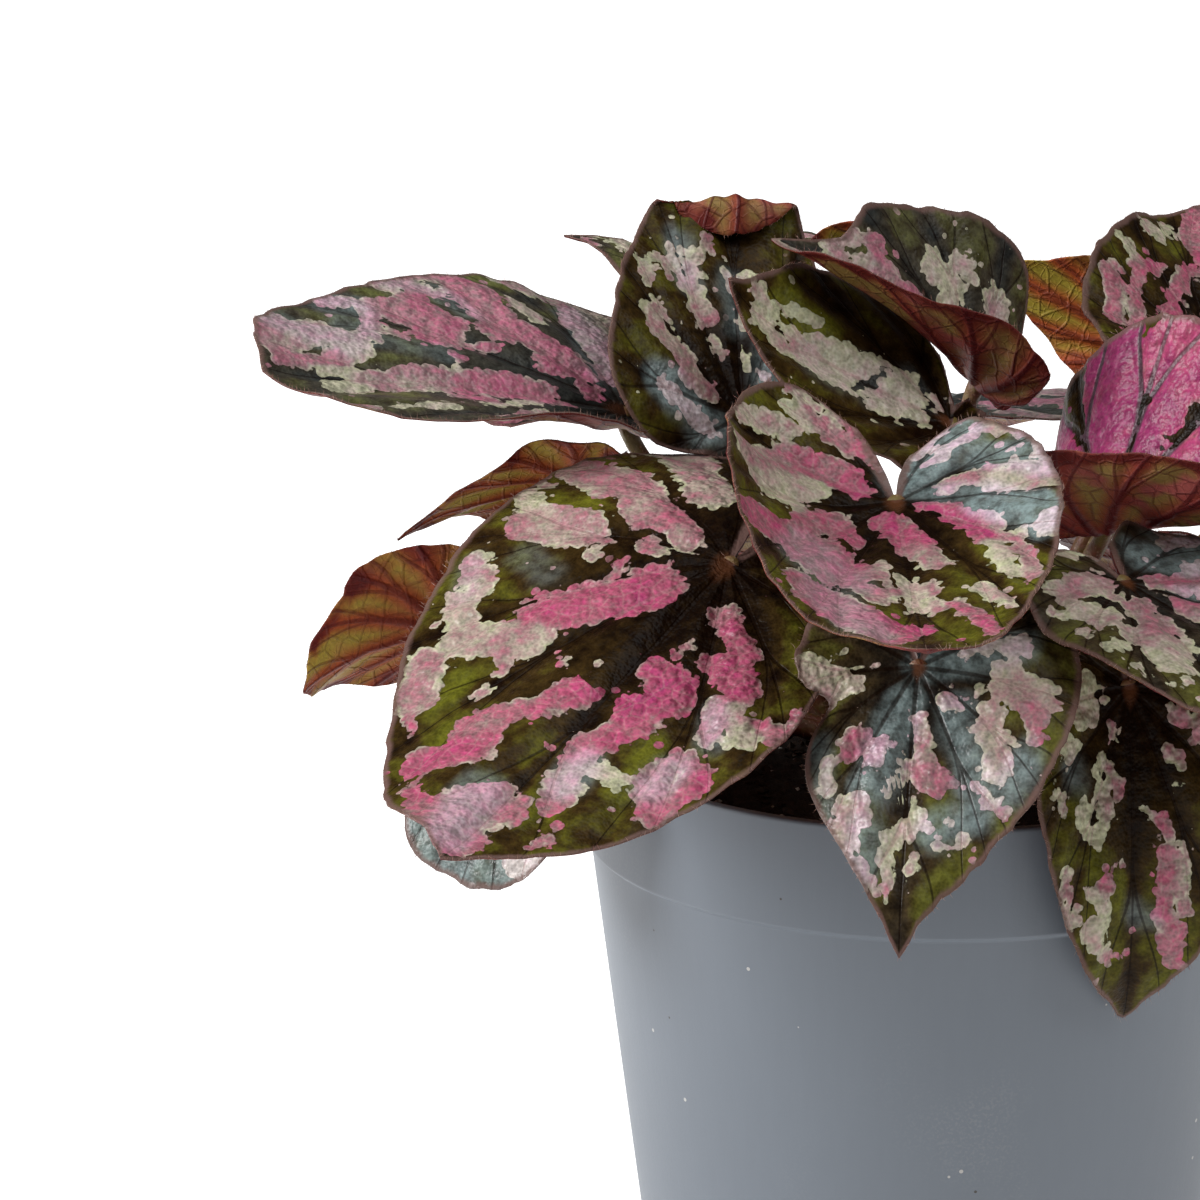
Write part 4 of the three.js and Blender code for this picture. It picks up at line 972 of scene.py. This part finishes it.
def bladeMesh(leaf, name, materials):
    form = leafForm
    surface = leafSurface(leaf)
    columns = leafColumns(leaf)
    rows = max(14, int(leaf["length"] / form["rowHeight"]))
    shares = np.concatenate([[0.0], np.linspace(0.05, 0.965, rows), [0.985, 1.0]])
    column, share = np.meshgrid(columns, shares)
    end = 180 - form["sinus"]
    closing = 1 + 0.065 * (1 - share) * smoothStep(70, end, np.abs(column))  # the lobes meet at the junction
    angle = column * closing - form["veinBend"] * share ** 2 * np.sin(math.pi * column / end)
    rounded = share * (1 - 0.3 * smoothStep(144, end, np.abs(angle)) ** 2)
    arc = leafReach(leaf, angle) * angle * degree
    seed = leaf["seed"]
    tooth = form["tooth"] * lumps(arc / 1.6, arc * 0 + seed, seed) * share ** 12
    place, u, v = surface(angle, rounded, tooth)
    normal = surfaceNormals(surface, angle, rounded)
    radius = np.hypot(u, v)
    phase = leafPhase(column)
    gap = radius * veinSpacing(column) * degree
    offVein = np.abs(phase - np.round(phase))
    fork = 0.33 * smoothStep(0.45, 1, share)
    toMain, toVein = offVein * gap, np.minimum(offVein, np.abs(offVein - fork)) * gap
    puff = form["quilt"] * (1 - np.exp(-(toVein / 2.2) ** 2)) * (1 - 0.75 * smoothStep(0.85, 1, share))
    small = 0.2 * lumps(u / 3, v / 3, seed) * smoothStep(0.1, 0.4, share)
    ruffle = form["ruffle"] * lumps(arc / 8, arc * 0 + 3.3, seed + 5) * share ** 5
    lift = puff + small + ruffle
    ridge = form["ridge"] * np.exp(-(toMain / 0.75) ** 2) * (1 - 0.7 * share)
    half = 0.5 * (form["edgeThickness"] + (form["thickness"] - form["edgeThickness"])
                  * (1 - smoothStep(0.75, 1, share)))
    top = place + normal * (lift + half)[..., None]
    under = place + normal * (0.85 * lift - ridge - half)[..., None]
    rimPlace = surface(angle[-1], rounded[-1], tooth[-1] + 0.13)[0]
    rim = rimPlace + normal[-1] * (0.92 * lift[-1])[..., None]
    groups, isUnder = bladeFaces(len(shares) - 1, len(columns))
    faces = [face for group in groups for face in group.tolist()]
    faceMaterials = [kind for group, kind in zip(groups, isUnder) for _ in range(len(group))]
    points = np.concatenate([gatherRows(top), gatherRows(under), rim])
    blade = addMesh(name, points, faces, materials, faceMaterials)
    addBakeMap(blade.data, leaf, groups, u, v, (column + end) / (2 * end), share)

    # what the materials read
    patch, blush = patchField(leaf, u, v)
    edge = np.minimum((1 - share) * leafReach(leaf, angle) * 0.85, radius * (end - np.abs(angle)) * degree)
    shift = np.stack([u + 137.0 * seed, v + 61.0 * seed, 0 * u], axis=-1)
    values = {"flat": shift, "phase": phase, "share": share, "gap": gap, "patch": patch, "blush": blush,
              "edge": edge, "sheen": strokeStrength(leaf, "silverSheen", leaf["sheen"], u, v),
              "bright": strokeStrength(leaf, "bright", leaf["bright"], u, v),
              "backlight": leaf["backlight"] + 0 * share}
    for key, grid in values.items():
        one = gatherRows(grid)
        keepValues(blade.data, key, np.concatenate([one, one, grid[-1]]))
    margin = {"place": rim, "out": rim - under[-1], "normal": normal[-1]}
    return blade, margin


leafMaterials = [bladeTopMaterial(), bladeUnderMaterial()]
margins = []
for leaf in leaves:
    nodeName = "leaf_%02d" % leaf["seed"]
    blade, margin = bladeMesh(leaf, "blade_%02d" % leaf["seed"], leafMaterials)
    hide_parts(nodeName)
    margins.append(margin)


potShape = {
    "height": 105, "rimRadius": 60, "collarHeight": 19, "collarStep": 0.9, "collarTaper": 0.5,
    "baseRadius": 47.5, "wall": 1.3, "lip": 0.6, "lipDepth": 2, "cornerRadius": 2.5, "footWidth": 6,
    "discRadius": 18, "channelHeight": 2.6, "floor": 1.4, "holes": 8, "holeRadius": 4,
    "holeRingRadius": 29.5, "sides": 192,
}
potLook = {
    "plastic": (0.112, 0.13, 0.154),
    "dust": (0.42, 0.4, 0.37),
    "dirt": (0.035, 0.028, 0.022),
}


def potMaterial():
    material, tree, shader = newMaterial("grey_blue_plastic")
    place = objectPlace(tree)
    soft = grain(tree, place, 34, 3, "3D")
    fine = grain(tree, place, 0.5, 2, "3D")
    split = addNode(tree, "SeparateXYZ", {0: place})
    stretched = addNode(tree, "CombineXYZ", {0: split.outputs[0], 1: split.outputs[1],
                                             2: calc(tree, "MULTIPLY", split.outputs[2], 0.06)})
    drawn = grain(tree, stretched.outputs[0], 1.6, 3, "3D")  # faint upright flow lines of the moulding
    tone = calc(tree, "MULTIPLY_ADD", soft, 0.5, calc(tree, "MULTIPLY", drawn, 0.25))
    base = potLook["plastic"]
    colour = mixColour(tree, tone, tuple(c * 0.9 for c in base), tuple(c * 1.12 for c in base))
    specks = calc(tree, "LESS_THAN", cells(tree, place, 8.5, "F1", "3D"), 0.042)
    colour = mixColour(tree, calc(tree, "MULTIPLY", specks, 0.8), colour, potLook["dust"])
    crumbs = calc(tree, "LESS_THAN", cells(tree, place, 13.7, "F1", "3D"), 0.02)
    colour = mixColour(tree, crumbs, colour, potLook["dirt"])
    film = calc(tree, "MULTIPLY", ramp(tree, soft, 0.5, 0.75), ramp(tree, fine, 0.45, 0.7))
    colour = mixColour(tree, calc(tree, "MULTIPLY", film, 0.1), colour, potLook["dust"])
    tree.links.new(colour, shader.inputs["Base Color"])
    gloss = calc(tree, "MULTIPLY_ADD", soft, 0.12, calc(tree, "MULTIPLY_ADD", fine, 0.08, 0.38))
    tree.links.new(gloss, shader.inputs["Roughness"])
    height = calc(tree, "MULTIPLY_ADD", fine, 0.03, calc(tree, "MULTIPLY", drawn, 0.035))
    height = calc(tree, "MULTIPLY_ADD", soft, 0.3, height)
    setBump(tree, shader, height, 0.5)
    return material


# Rounds a corner of a profile with a few points.
def roundCorner(before, corner, after, radius, steps=5):
    before, corner, after = (np.array(p, dtype=float) for p in (before, corner, after))
    a = corner + (before - corner) / np.linalg.norm(before - corner) * radius
    b = corner + (after - corner) / np.linalg.norm(after - corner) * radius
    return [tuple((1 - t) ** 2 * a + 2 * t * (1 - t) * corner + t * t * b)
            for t in np.linspace(0, 1, steps)]


def spinProfile(profile, sides):
    points, faces, rings = [], [], []
    for radius, z in profile:
        start = len(points)
        if radius < 1e-6:
            points.append((0, 0, z))
            rings.append([start] * sides)
            continue
        turns = np.arange(sides) * 2 * math.pi / sides
        points += [(radius * math.cos(t), radius * math.sin(t), z) for t in turns]
        rings.append([start + j for j in range(sides)])
    for a, b in zip(rings[:-1], rings[1:]):
        for j in range(sides):
            k = (j + 1) % sides
            face = [a[j], a[k], b[k], b[j]]
            faces.append(list(dict.fromkeys(face)))
    return points, faces


def makePot():
    p = potShape
    collarBottom = p["height"] - p["collarHeight"]
    collarRadius = p["rimRadius"] - p["collarTaper"]
    bodyRadius = collarRadius - p["collarStep"]
    footInner = p["baseRadius"] - p["cornerRadius"] - p["footWidth"]
    deep, floor = p["channelHeight"], p["floor"]
    corners = [  # radius, height, rounding
        (0, 0, 0), (p["discRadius"], 0, 0.6), (p["discRadius"] + deep, deep, 0.8),
        (footInner - deep, deep, 0.8), (footInner, 0, 0.6), (p["baseRadius"] - 1.1, 0, 1.0),
        (p["baseRadius"] + 0.15, 2.6, 2.2), (bodyRadius, collarBottom - 0.6, 0.3),
        (collarRadius, collarBottom + 0.1, 0.4), (p["rimRadius"], p["height"], 0.75),
        (p["rimRadius"] - p["wall"] - p["lip"], p["height"], 0.6),
        (p["rimRadius"] - p["wall"] - 0.1, p["height"] - p["lipDepth"], 0.8),
        (collarRadius - p["wall"], collarBottom, 0.6), (bodyRadius - p["wall"], collarBottom - 3, 1),
        (p["baseRadius"] - p["wall"], p["cornerRadius"] + deep + floor, 1.5),
        (p["baseRadius"] - p["cornerRadius"] - p["wall"], deep + floor, 1), (0, deep + floor, 0),
    ]
    profile = [corners[0][:2]]
    for before, corner, after in zip(corners[:-2], corners[1:-1], corners[2:]):
        profile += roundCorner(before[:2], corner[:2], after[:2], corner[2])
    profile.append(corners[-1][:2])
    points, faces = spinProfile(profile, p["sides"])
    pot = addMesh("nursery_pot", points, faces, [potMaterial()])
    drills = bmesh.new()
    for i in range(p["holes"]):
        turn = (i + 0.5) * 2 * math.pi / p["holes"]
        made = bmesh.ops.create_cone(drills, cap_ends=True, segments=32, radius1=p["holeRadius"] * mm,
                                     radius2=p["holeRadius"] * mm, depth=0.02)
        shift = Vector((math.cos(turn), math.sin(turn), 0)) * p["holeRingRadius"] * mm
        bmesh.ops.translate(drills, verts=made["verts"], vec=shift)
    cutterMesh = bpy.data.meshes.new("drain_hole_cutter")
    drills.to_mesh(cutterMesh)
    drills.free()
    cutter = bpy.data.objects.new("drain_hole_cutter", cutterMesh)
    scene.collection.objects.link(cutter)
    cut = pot.modifiers.new("drain holes", "BOOLEAN")
    cut.object, cut.operation, cut.solver = cutter, "DIFFERENCE", "EXACT"
    view = bpy.context.evaluated_depsgraph_get()
    drilled = bpy.data.meshes.new_from_object(pot.evaluated_get(view))
    pot.modifiers.clear()
    pot.data = drilled
    bpy.data.objects.remove(cutter)
    drilled.polygons.foreach_set("use_smooth", [True] * len(drilled.polygons))
    drilled.set_sharp_from_angle(angle=math.radians(42))
    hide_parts("pot")


makePot()
print("pot made")


soilShape = {"topDrop": 8, "crown": 2.2, "bump": 1.1, "rings": 46, "sides": 150, "gapToPot": 0.6,
             "crumbs": 900, "crumbSize": (0.5, 1.5), "grit": 240, "gritSize": (0.3, 0.8),
             "crumbRadius": 55.5}
soilTop = potShape["height"] - soilShape["topDrop"]
soilLook = {"peat": (0.009, 0.0075, 0.0065), "bark": (0.045, 0.028, 0.018), "grit": (0.46, 0.44, 0.4)}


def soilMaterial(name, dark, pale, paleShare):
    material, tree, shader = newMaterial(name)
    place = objectPlace(tree)
    coarse = grain(tree, place, 2.4, 5, "3D", 0.7)
    fine = grain(tree, place, 0.45, 3, "3D", 0.65)
    bits = cells(tree, place, 1.7, "F1", "3D")
    tone = calc(tree, "MULTIPLY_ADD", coarse, 0.8, calc(tree, "MULTIPLY_ADD", fine, 0.5, -0.3))
    colour = mixColour(tree, ramp(tree, tone, 0.15, 1 - 0.4 * paleShare), dark, pale)
    colour = mixColour(tree, ramp(tree, bits, 0.0, 0.3, 0.4, 0.0), colour, pale)
    tree.links.new(colour, shader.inputs["Base Color"])
    shader.inputs["Roughness"].default_value = 0.9
    shader.inputs["Specular IOR Level"].default_value = 0.25
    height = calc(tree, "MULTIPLY_ADD", coarse, 0.9, calc(tree, "MULTIPLY", fine, 0.4))
    setBump(tree, shader, height, 0.9)
    return material


def innerRadius(z):
    p = potShape
    collarBottom = p["height"] - p["collarHeight"]
    low = p["baseRadius"] - p["wall"]
    high = p["rimRadius"] - p["collarTaper"] - p["collarStep"] - p["wall"]
    if z > collarBottom:
        return p["rimRadius"] - p["collarTaper"] - p["wall"]
    return low + (high - low) * (z - p["cornerRadius"]) / (collarBottom - p["cornerRadius"])


def soilHeight(x, y):
    r = np.hypot(x, y) / 57.0
    bump = soilShape["bump"]
    return (soilTop - 1 + soilShape["crown"] * (1 - r * r) + bump * 0.8 * lumps(x / 9, y / 9, 4)
            + bump * 0.8 * np.abs(lumps(x / 2.6, y / 2.6, 6)) + bump * 0.45 * lumps(x / 1.1, y / 1.1, 8))


def makeSoil():
    rng = np.random.default_rng(11)
    sides = soilShape["sides"]
    bottom = potShape["channelHeight"] + potShape["floor"] + 0.35
    apart = soilShape["gapToPot"]
    outer = innerRadius(potShape["height"]) - apart
    side = [(0, bottom), (innerRadius(bottom) - potShape["cornerRadius"] - 0.5, bottom),
            (innerRadius(bottom + 3) - apart, bottom + 3), (innerRadius(82) - apart, 82),
            (outer, soilTop - 4)]
    profile = side + [(outer * s, 0) for s in np.linspace(1, 0, soilShape["rings"])]
    points, faces = spinProfile(profile, sides)
    points = np.array(points, dtype=float)
    first = 1 + (len(side) - 1) * sides
    x, y = points[first:, 0], points[first:, 1]
    points[first:, 2] = soilHeight(x, y)
    points[first:first + sides, 2] = soilTop - 1.2
    soil = addMesh("potting_mix", points, faces,
                   [soilMaterial("moist_peat", soilLook["peat"], soilLook["bark"], 0.3)])
    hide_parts("soil")

    # loose crumbs of bark and grit, each a small faceted lump half sunk in the mix
    base = np.array([(0, 0, 1), (0, 0, -1), (1, 0, 0), (-1, 0, 0), (0, 1, 0), (0, -1, 0)], dtype=float)
    tris = [(0, 2, 4), (0, 4, 3), (0, 3, 5), (0, 5, 2), (1, 4, 2), (1, 3, 4), (1, 5, 3), (1, 2, 5)]
    for name, count, sizes, material in (
            ("bark_crumbs", soilShape["crumbs"], soilShape["crumbSize"],
             soilMaterial("bark", soilLook["peat"], soilLook["bark"], 1.0)),
            ("white_grit", soilShape["grit"], soilShape["gritSize"],
             soilMaterial("grit", tuple(c * 0.6 for c in soilLook["grit"]), soilLook["grit"], 1.0))):
        allPoints, allFaces = [], []
        for _ in range(count):
            r, turn = soilShape["crumbRadius"] * math.sqrt(rng.random()), rng.random() * 2 * math.pi
            x, y = r * math.cos(turn), r * math.sin(turn)
            size = rng.uniform(*sizes) * np.array([1, rng.uniform(0.5, 0.9), rng.uniform(0.35, 0.7)])
            spin = rng.random() * math.pi
            tilt = rng.uniform(-0.5, 0.5)
            lump = base * size * (1 + 0.25 * rng.standard_normal((6, 1)))
            lump = lump @ np.array([[1, 0, 0], [0, math.cos(tilt), -math.sin(tilt)],
                                    [0, math.sin(tilt), math.cos(tilt)]])
            lump = lump @ np.array([[math.cos(spin), -math.sin(spin), 0],
                                    [math.sin(spin), math.cos(spin), 0], [0, 0, 1]])
            z = float(soilHeight(np.array(x), np.array(y))) + 0.25 * size[2]
            start = len(allPoints)
            allPoints += (lump + [x, y, z]).tolist()
            allFaces += [[start + k for k in tri] for tri in tris]
        addMesh(name, allPoints, allFaces, [material], smooth=False)


makeSoil()
print("potting mix made")


# The rhizome and the petioles run along the same curves as in the CAD.
petioleShape = {"footRadius": 2.1, "tipRadius": 1.35, "sides": 14, "steps": 40}
rhizomeShape = {"radius": 6.5, "taper": 0.28, "armLength": 21, "arms": 3, "turn": 35, "sway": 0.3,
                "lift": 0.5, "rise": 2.5}
stemLook = {"red": (0.13, 0.03, 0.017), "green": (0.14, 0.1, 0.028), "brown": (0.06, 0.033, 0.02),
            "hair": (0.42, 0.26, 0.2)}


def stemMaterial():
    material, tree, shader = newMaterial("hairy_petiole")
    place = objectPlace(tree)
    up = addNode(tree, "SeparateXYZ", {0: place}).outputs[2]
    blotch = grain(tree, place, 3.5, 3, "3D", 0.6)
    fine = grain(tree, place, 0.6, 3, "3D", 0.6)
    flecks = ramp(tree, cells(tree, place, 1.3, "F1", "3D"), 0.1, 0.22, 0.8, 0.0)
    tone = calc(tree, "MULTIPLY_ADD", blotch, 1.4, ramp(tree, up, 100, 150, -0.35, -0.15))
    colour = mixColour(tree, ramp(tree, tone, 0.2, 0.75), stemLook["red"], stemLook["green"])
    colour = mixColour(tree, ramp(tree, up, 98, 106, 1.0, 0.0), colour, stemLook["brown"])
    colour = mixColour(tree, calc(tree, "MULTIPLY", flecks, 0.6), colour, stemLook["hair"])
    tree.links.new(colour, shader.inputs["Base Color"])
    tree.links.new(calc(tree, "MULTIPLY_ADD", fine, 0.25, 0.35), shader.inputs["Roughness"])
    setBump(tree, shader, calc(tree, "MULTIPLY_ADD", fine, 0.25, calc(tree, "MULTIPLY", blotch, 0.4)), 0.8)
    return material


def armPoint(arm, share):
    r = rhizomeShape
    heading = (r["turn"] + 360 * arm / r["arms"]) * degree + r["sway"] * math.sin(3 * share + arm)
    reach = r["armLength"] * share
    return np.array([reach * math.cos(heading), reach * math.sin(heading),
                     soilTop + r["lift"] + r["rise"] * share])


def petioleFoot(join):
    spread = math.hypot(join[0], join[1])
    wanted = min(rhizomeShape["armLength"], 5 + 0.32 * spread) / spread
    aim = np.array([join[0] * wanted, join[1] * wanted, soilTop])
    places = [armPoint(arm, k / 10) for arm in range(rhizomeShape["arms"]) for k in range(11)]
    return min(places, key=lambda place: np.linalg.norm(place - aim))


# Points along a petiole at even spacing.
def petiolePath(leaf):
    along, _, face = leafAxes(leaf)
    join = np.array(leaf["at"], dtype=float)
    foot = petioleFoot(join)
    rise = join[2] - foot[2]
    bow = np.array([*leaf["bow"], 0.0])
    lower = foot + 0.2 * (join - foot) * [1, 1, 0] + [0, 0, 0.45 * rise] + bow
    arrival = 0.55 * along + 0.83 * face
    arrival /= np.linalg.norm(arrival)
    upper = join - 0.34 * rise * arrival + 0.6 * bow
    t = np.linspace(0, 1, 201)[:, None]
    curve = ((1 - t) ** 3 * foot + 3 * (1 - t) ** 2 * t * lower + 3 * (1 - t) * t * t * upper + t ** 3 * join)
    walked = np.concatenate([[0], np.cumsum(np.linalg.norm(np.diff(curve, axis=0), axis=1))])
    even = np.linspace(0, walked[-1], petioleShape["steps"] + 1)
    return np.stack([np.interp(even, walked, curve[:, k]) for k in range(3)], axis=1)


# Directions round a path that don't twist: the way it runs, and two across it.
def pathFrames(path):
    run = np.gradient(path, axis=0)
    run /= np.linalg.norm(run, axis=1, keepdims=True)
    across = np.cross(run[0], [0.3, 0.9, 0.1])
    sides = []
    for direction in run:
        across = across - direction * np.dot(across, direction)
        across /= np.linalg.norm(across)
        sides.append(across.copy())
    sides = np.array(sides)
    return run, sides, np.cross(run, sides)


def tube(path, radii, sides, start, ribs=0.0, seed=0):
    run, across, other = pathFrames(path)
    turns = np.arange(sides) * 2 * math.pi / sides
    points = []
    for i, centre in enumerate(path):
        swell = radii[i] * (1 + ribs * np.sin(5 * turns + seed) + 0.03 * np.sin(1.7 * i + 2 * turns + seed))
        points.append(centre + (swell * np.cos(turns))[:, None] * across[i]
                      + (swell * np.sin(turns))[:, None] * other[i])
    points = np.concatenate(points + [path[:1], path[-1:]])
    faces = []
    last = (len(path) - 1) * sides
    footCentre, tipCentre = len(path) * sides, len(path) * sides + 1
    for j in range(sides):
        k = (j + 1) % sides
        faces += [[i * sides + j, i * sides + k, (i + 1) * sides + k, (i + 1) * sides + j]
                  for i in range(len(path) - 1)]
        faces += [[footCentre, k, j], [tipCentre, last + j, last + k]]
    return points, [[start + v for v in face] for face in faces]


def makeStems():
    points, faces, paths = [], [], []
    for arm in range(rhizomeShape["arms"]):  # a knobbly creeping stem
        shares = np.linspace(-0.02, 1.0, 34)
        path = np.array([armPoint(arm, share) for share in shares])
        knots = 1 + 0.09 * np.sin(shares * 21 + arm) + 0.05 * np.sin(shares * 47)
        radii = rhizomeShape["radius"] * (1 - rhizomeShape["taper"] * shares) * knots
        radii *= np.sqrt(np.clip(1 - ((shares - 0.9) / 0.32).clip(0) ** 2, 0.02, 1))
        made, madeFaces = tube(path, radii, 28, len(points), 0.04, arm)
        points += made.tolist()
        faces += madeFaces
    for leaf in leaves:
        path = petiolePath(leaf)
        share = np.linspace(0, 1, len(path))
        radii = (1 - share) * petioleShape["footRadius"] + share * petioleShape["tipRadius"]
        radii *= (1 + 0.35 * np.exp(-share * 14)) * (0.8 + 0.2 * min(1, leaf["length"] / 60))
        radii *= 1 + 0.18 * smoothStep(0.93, 1, share)
        made, madeFaces = tube(path, radii, petioleShape["sides"], len(points), 0.035, leaf["seed"])
        points += made.tolist()
        faces += madeFaces
        paths.append((path, radii))
    stems = addMesh("rhizome_and_petioles", points, faces, [stemMaterial()])
    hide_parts("stems")
    return paths


petioles = makeStems()
print("rhizome and petioles made")


hairShape = {"marginLength": (0.7, 1.5), "petioleLength": (0.8, 1.8), "thickness": 0.09, "everyMargin": 0.9,
             "perPetiole": 110}


def hairMaterial():
    material, tree, shader = newMaterial("fine_hair")
    place = addNode(tree, "TexCoord").outputs["Object"]
    tone = addNode(tree, "TexNoise", {"Vector": place, "Scale": 160.0}).outputs["Fac"]
    colour = mixColour(tree, ramp(tree, tone, 0.3, 0.7), (0.2, 0.07, 0.05), stemLook["hair"])
    tree.links.new(colour, shader.inputs["Base Color"])
    shader.inputs["Roughness"].default_value = 0.5
    return material


def addHair(points, faces, root, tip, thickness):
    run = tip - root
    across = np.cross(run, [0.31, 0.22, 0.93])
    across *= thickness / max(np.linalg.norm(across), 1e-6)
    other = np.cross(run, across)
    other *= thickness / max(np.linalg.norm(other), 1e-6)
    start = len(points)
    points += [(root + across).tolist(), (root - 0.5 * across + 0.87 * other).tolist(),
               (root - 0.5 * across - 0.87 * other).tolist(), tip.tolist()]
    faces += [[start, start + 2, start + 1], [start, start + 1, start + 3],
              [start + 1, start + 2, start + 3], [start + 2, start, start + 3]]


def makeHairs():
    rng = np.random.default_rng(5)
    points, faces = [], []
    thick = hairShape["thickness"] / 2
    for margin in margins:
        rim = margin["place"]
        out = margin["out"] / np.linalg.norm(margin["out"], axis=1, keepdims=True)
        for i in range(len(rim) - 1):
            step = rim[i + 1] - rim[i]
            for _ in range(int(np.linalg.norm(step) / hairShape["everyMargin"] + rng.random())):
                root = rim[i] + step * rng.random()
                way = out[i] + 0.45 * rng.standard_normal(3) + 0.3 * margin["normal"][i]
                way /= np.linalg.norm(way)
                addHair(points, faces, root - 0.1 * way, root + way * rng.uniform(*hairShape["marginLength"]),
                        thick)
    for path, radii in petioles:
        run, across, other = pathFrames(path)
        for _ in range(hairShape["perPetiole"]):
            i = int(rng.integers(3, len(path) - 1))
            turn = rng.random() * 2 * math.pi
            way = across[i] * math.cos(turn) + other[i] * math.sin(turn)
            root = path[i] + (path[i + 1] - path[i]) * rng.random()
            root = root + way * radii[i] * 0.92
            way = way + 0.3 * rng.standard_normal(3)
            way /= np.linalg.norm(way)
            addHair(points, faces, root, root + way * rng.uniform(*hairShape["petioleLength"]), thick)
    addMesh("fine_hairs", points, faces, [hairMaterial()])


makeHairs()
print("hairs made")


studio = {
    "floorRadius": 6.0,
    "floorWhite": 0.8,
    "floorGlow": 0.85,  # the lit paper starts beside the pot, and glows less in front of it
    "frontGlow": 0.3,
    "glowFrom": -0.2,
    "glowWidth": 0.25,
    "world": (1.0, 0.98, 0.96),
    "worldStrength": 0.1,
    "keyPower": 38.0,
    "keyAt": (-1.5, -0.35, 0.9),
    "keySize": 0.9,
    "keyAim": (0, 0, 0.12),
    "topPower": 10.0,
    "topAt": (0.15, -0.35, 1.5),
    "topSize": 1.2,
    "fillPower": 7.0,
    "fillAt": (0.75, -0.65, 1.15),
    "fillAim": (0.05, 0, 0.16),
    "fillSize": 0.8,
    "camera": (-0.0149, -0.9632, 0.3921),
    "aim": (-0.057, 0.0, 0.1265),
    "lens": 175.2,
}


def makeFloor():
    material, tree, shader = newMaterial("pale_floor")
    white = studio["floorWhite"]
    place = addNode(tree, "TexCoord").outputs["Object"]
    tone = addNode(tree, "TexNoise", {"Vector": place, "Scale": 30.0, "Detail": 3.0}).outputs["Fac"]
    colour = mixColour(tree, tone, (white * 0.985,) * 3, (white, white, white))
    tree.links.new(colour, shader.inputs["Base Color"])
    shader.inputs["Roughness"].default_value = 0.8
    shader.inputs["Specular IOR Level"].default_value = 0.1
    shader.inputs["Emission Color"].default_value = (1, 1, 1, 1)
    back = addNode(tree, "SeparateXYZ", {0: place}).outputs[1]
    glow = ramp(tree, back, studio["glowFrom"], studio["glowFrom"] + studio["glowWidth"],
                studio["frontGlow"], studio["floorGlow"])
    tree.links.new(glow, shader.inputs["Emission Strength"])
    bm = bmesh.new()
    bmesh.ops.create_circle(bm, cap_ends=True, segments=96, radius=studio["floorRadius"])
    mesh = bpy.data.meshes.new("floor")
    bm.to_mesh(mesh)
    bm.free()
    mesh.materials.append(material)
    floor = bpy.data.objects.new("floor", mesh)
    scene.collection.objects.link(floor)
    floor.location.z = -0.0002


def addLamp(name, place, aim, power, size):
    lamp = bpy.data.lights.new(name, "AREA")
    lamp.energy, lamp.shape, lamp.size = power, "DISK", size
    holder = bpy.data.objects.new(name, lamp)
    scene.collection.objects.link(holder)
    holder.location = place
    holder.rotation_euler = (Vector(aim) - Vector(place)).to_track_quat("-Z", "Y").to_euler()


makeFloor()
world = bpy.data.worlds.new("studio")
world.use_nodes = True
world.node_tree.nodes["Background"].inputs["Color"].default_value = (*studio["world"], 1)
world.node_tree.nodes["Background"].inputs["Strength"].default_value = studio["worldStrength"]
scene.world = world
addLamp("key_light", studio["keyAt"], studio["keyAim"], studio["keyPower"], studio["keySize"])
addLamp("top_light", studio["topAt"], studio["keyAim"], studio["topPower"], studio["topSize"])
addLamp("right_fill", studio["fillAt"], studio["fillAim"], studio["fillPower"], studio["fillSize"])

lens = bpy.data.cameras.new("camera")
lens.lens, lens.sensor_width = studio["lens"], 36
lens.clip_start, lens.clip_end = 0.05, 50
camera = bpy.data.objects.new("camera", lens)
camera.location = studio["camera"]
camera.rotation_euler = (Vector(studio["aim"]) - Vector(studio["camera"])).to_track_quat("-Z", "Y").to_euler()
scene.collection.objects.link(camera)
scene.camera = camera
scene.view_settings.view_transform = "Standard"
print("studio ready")

bpy.context.view_layer.update()
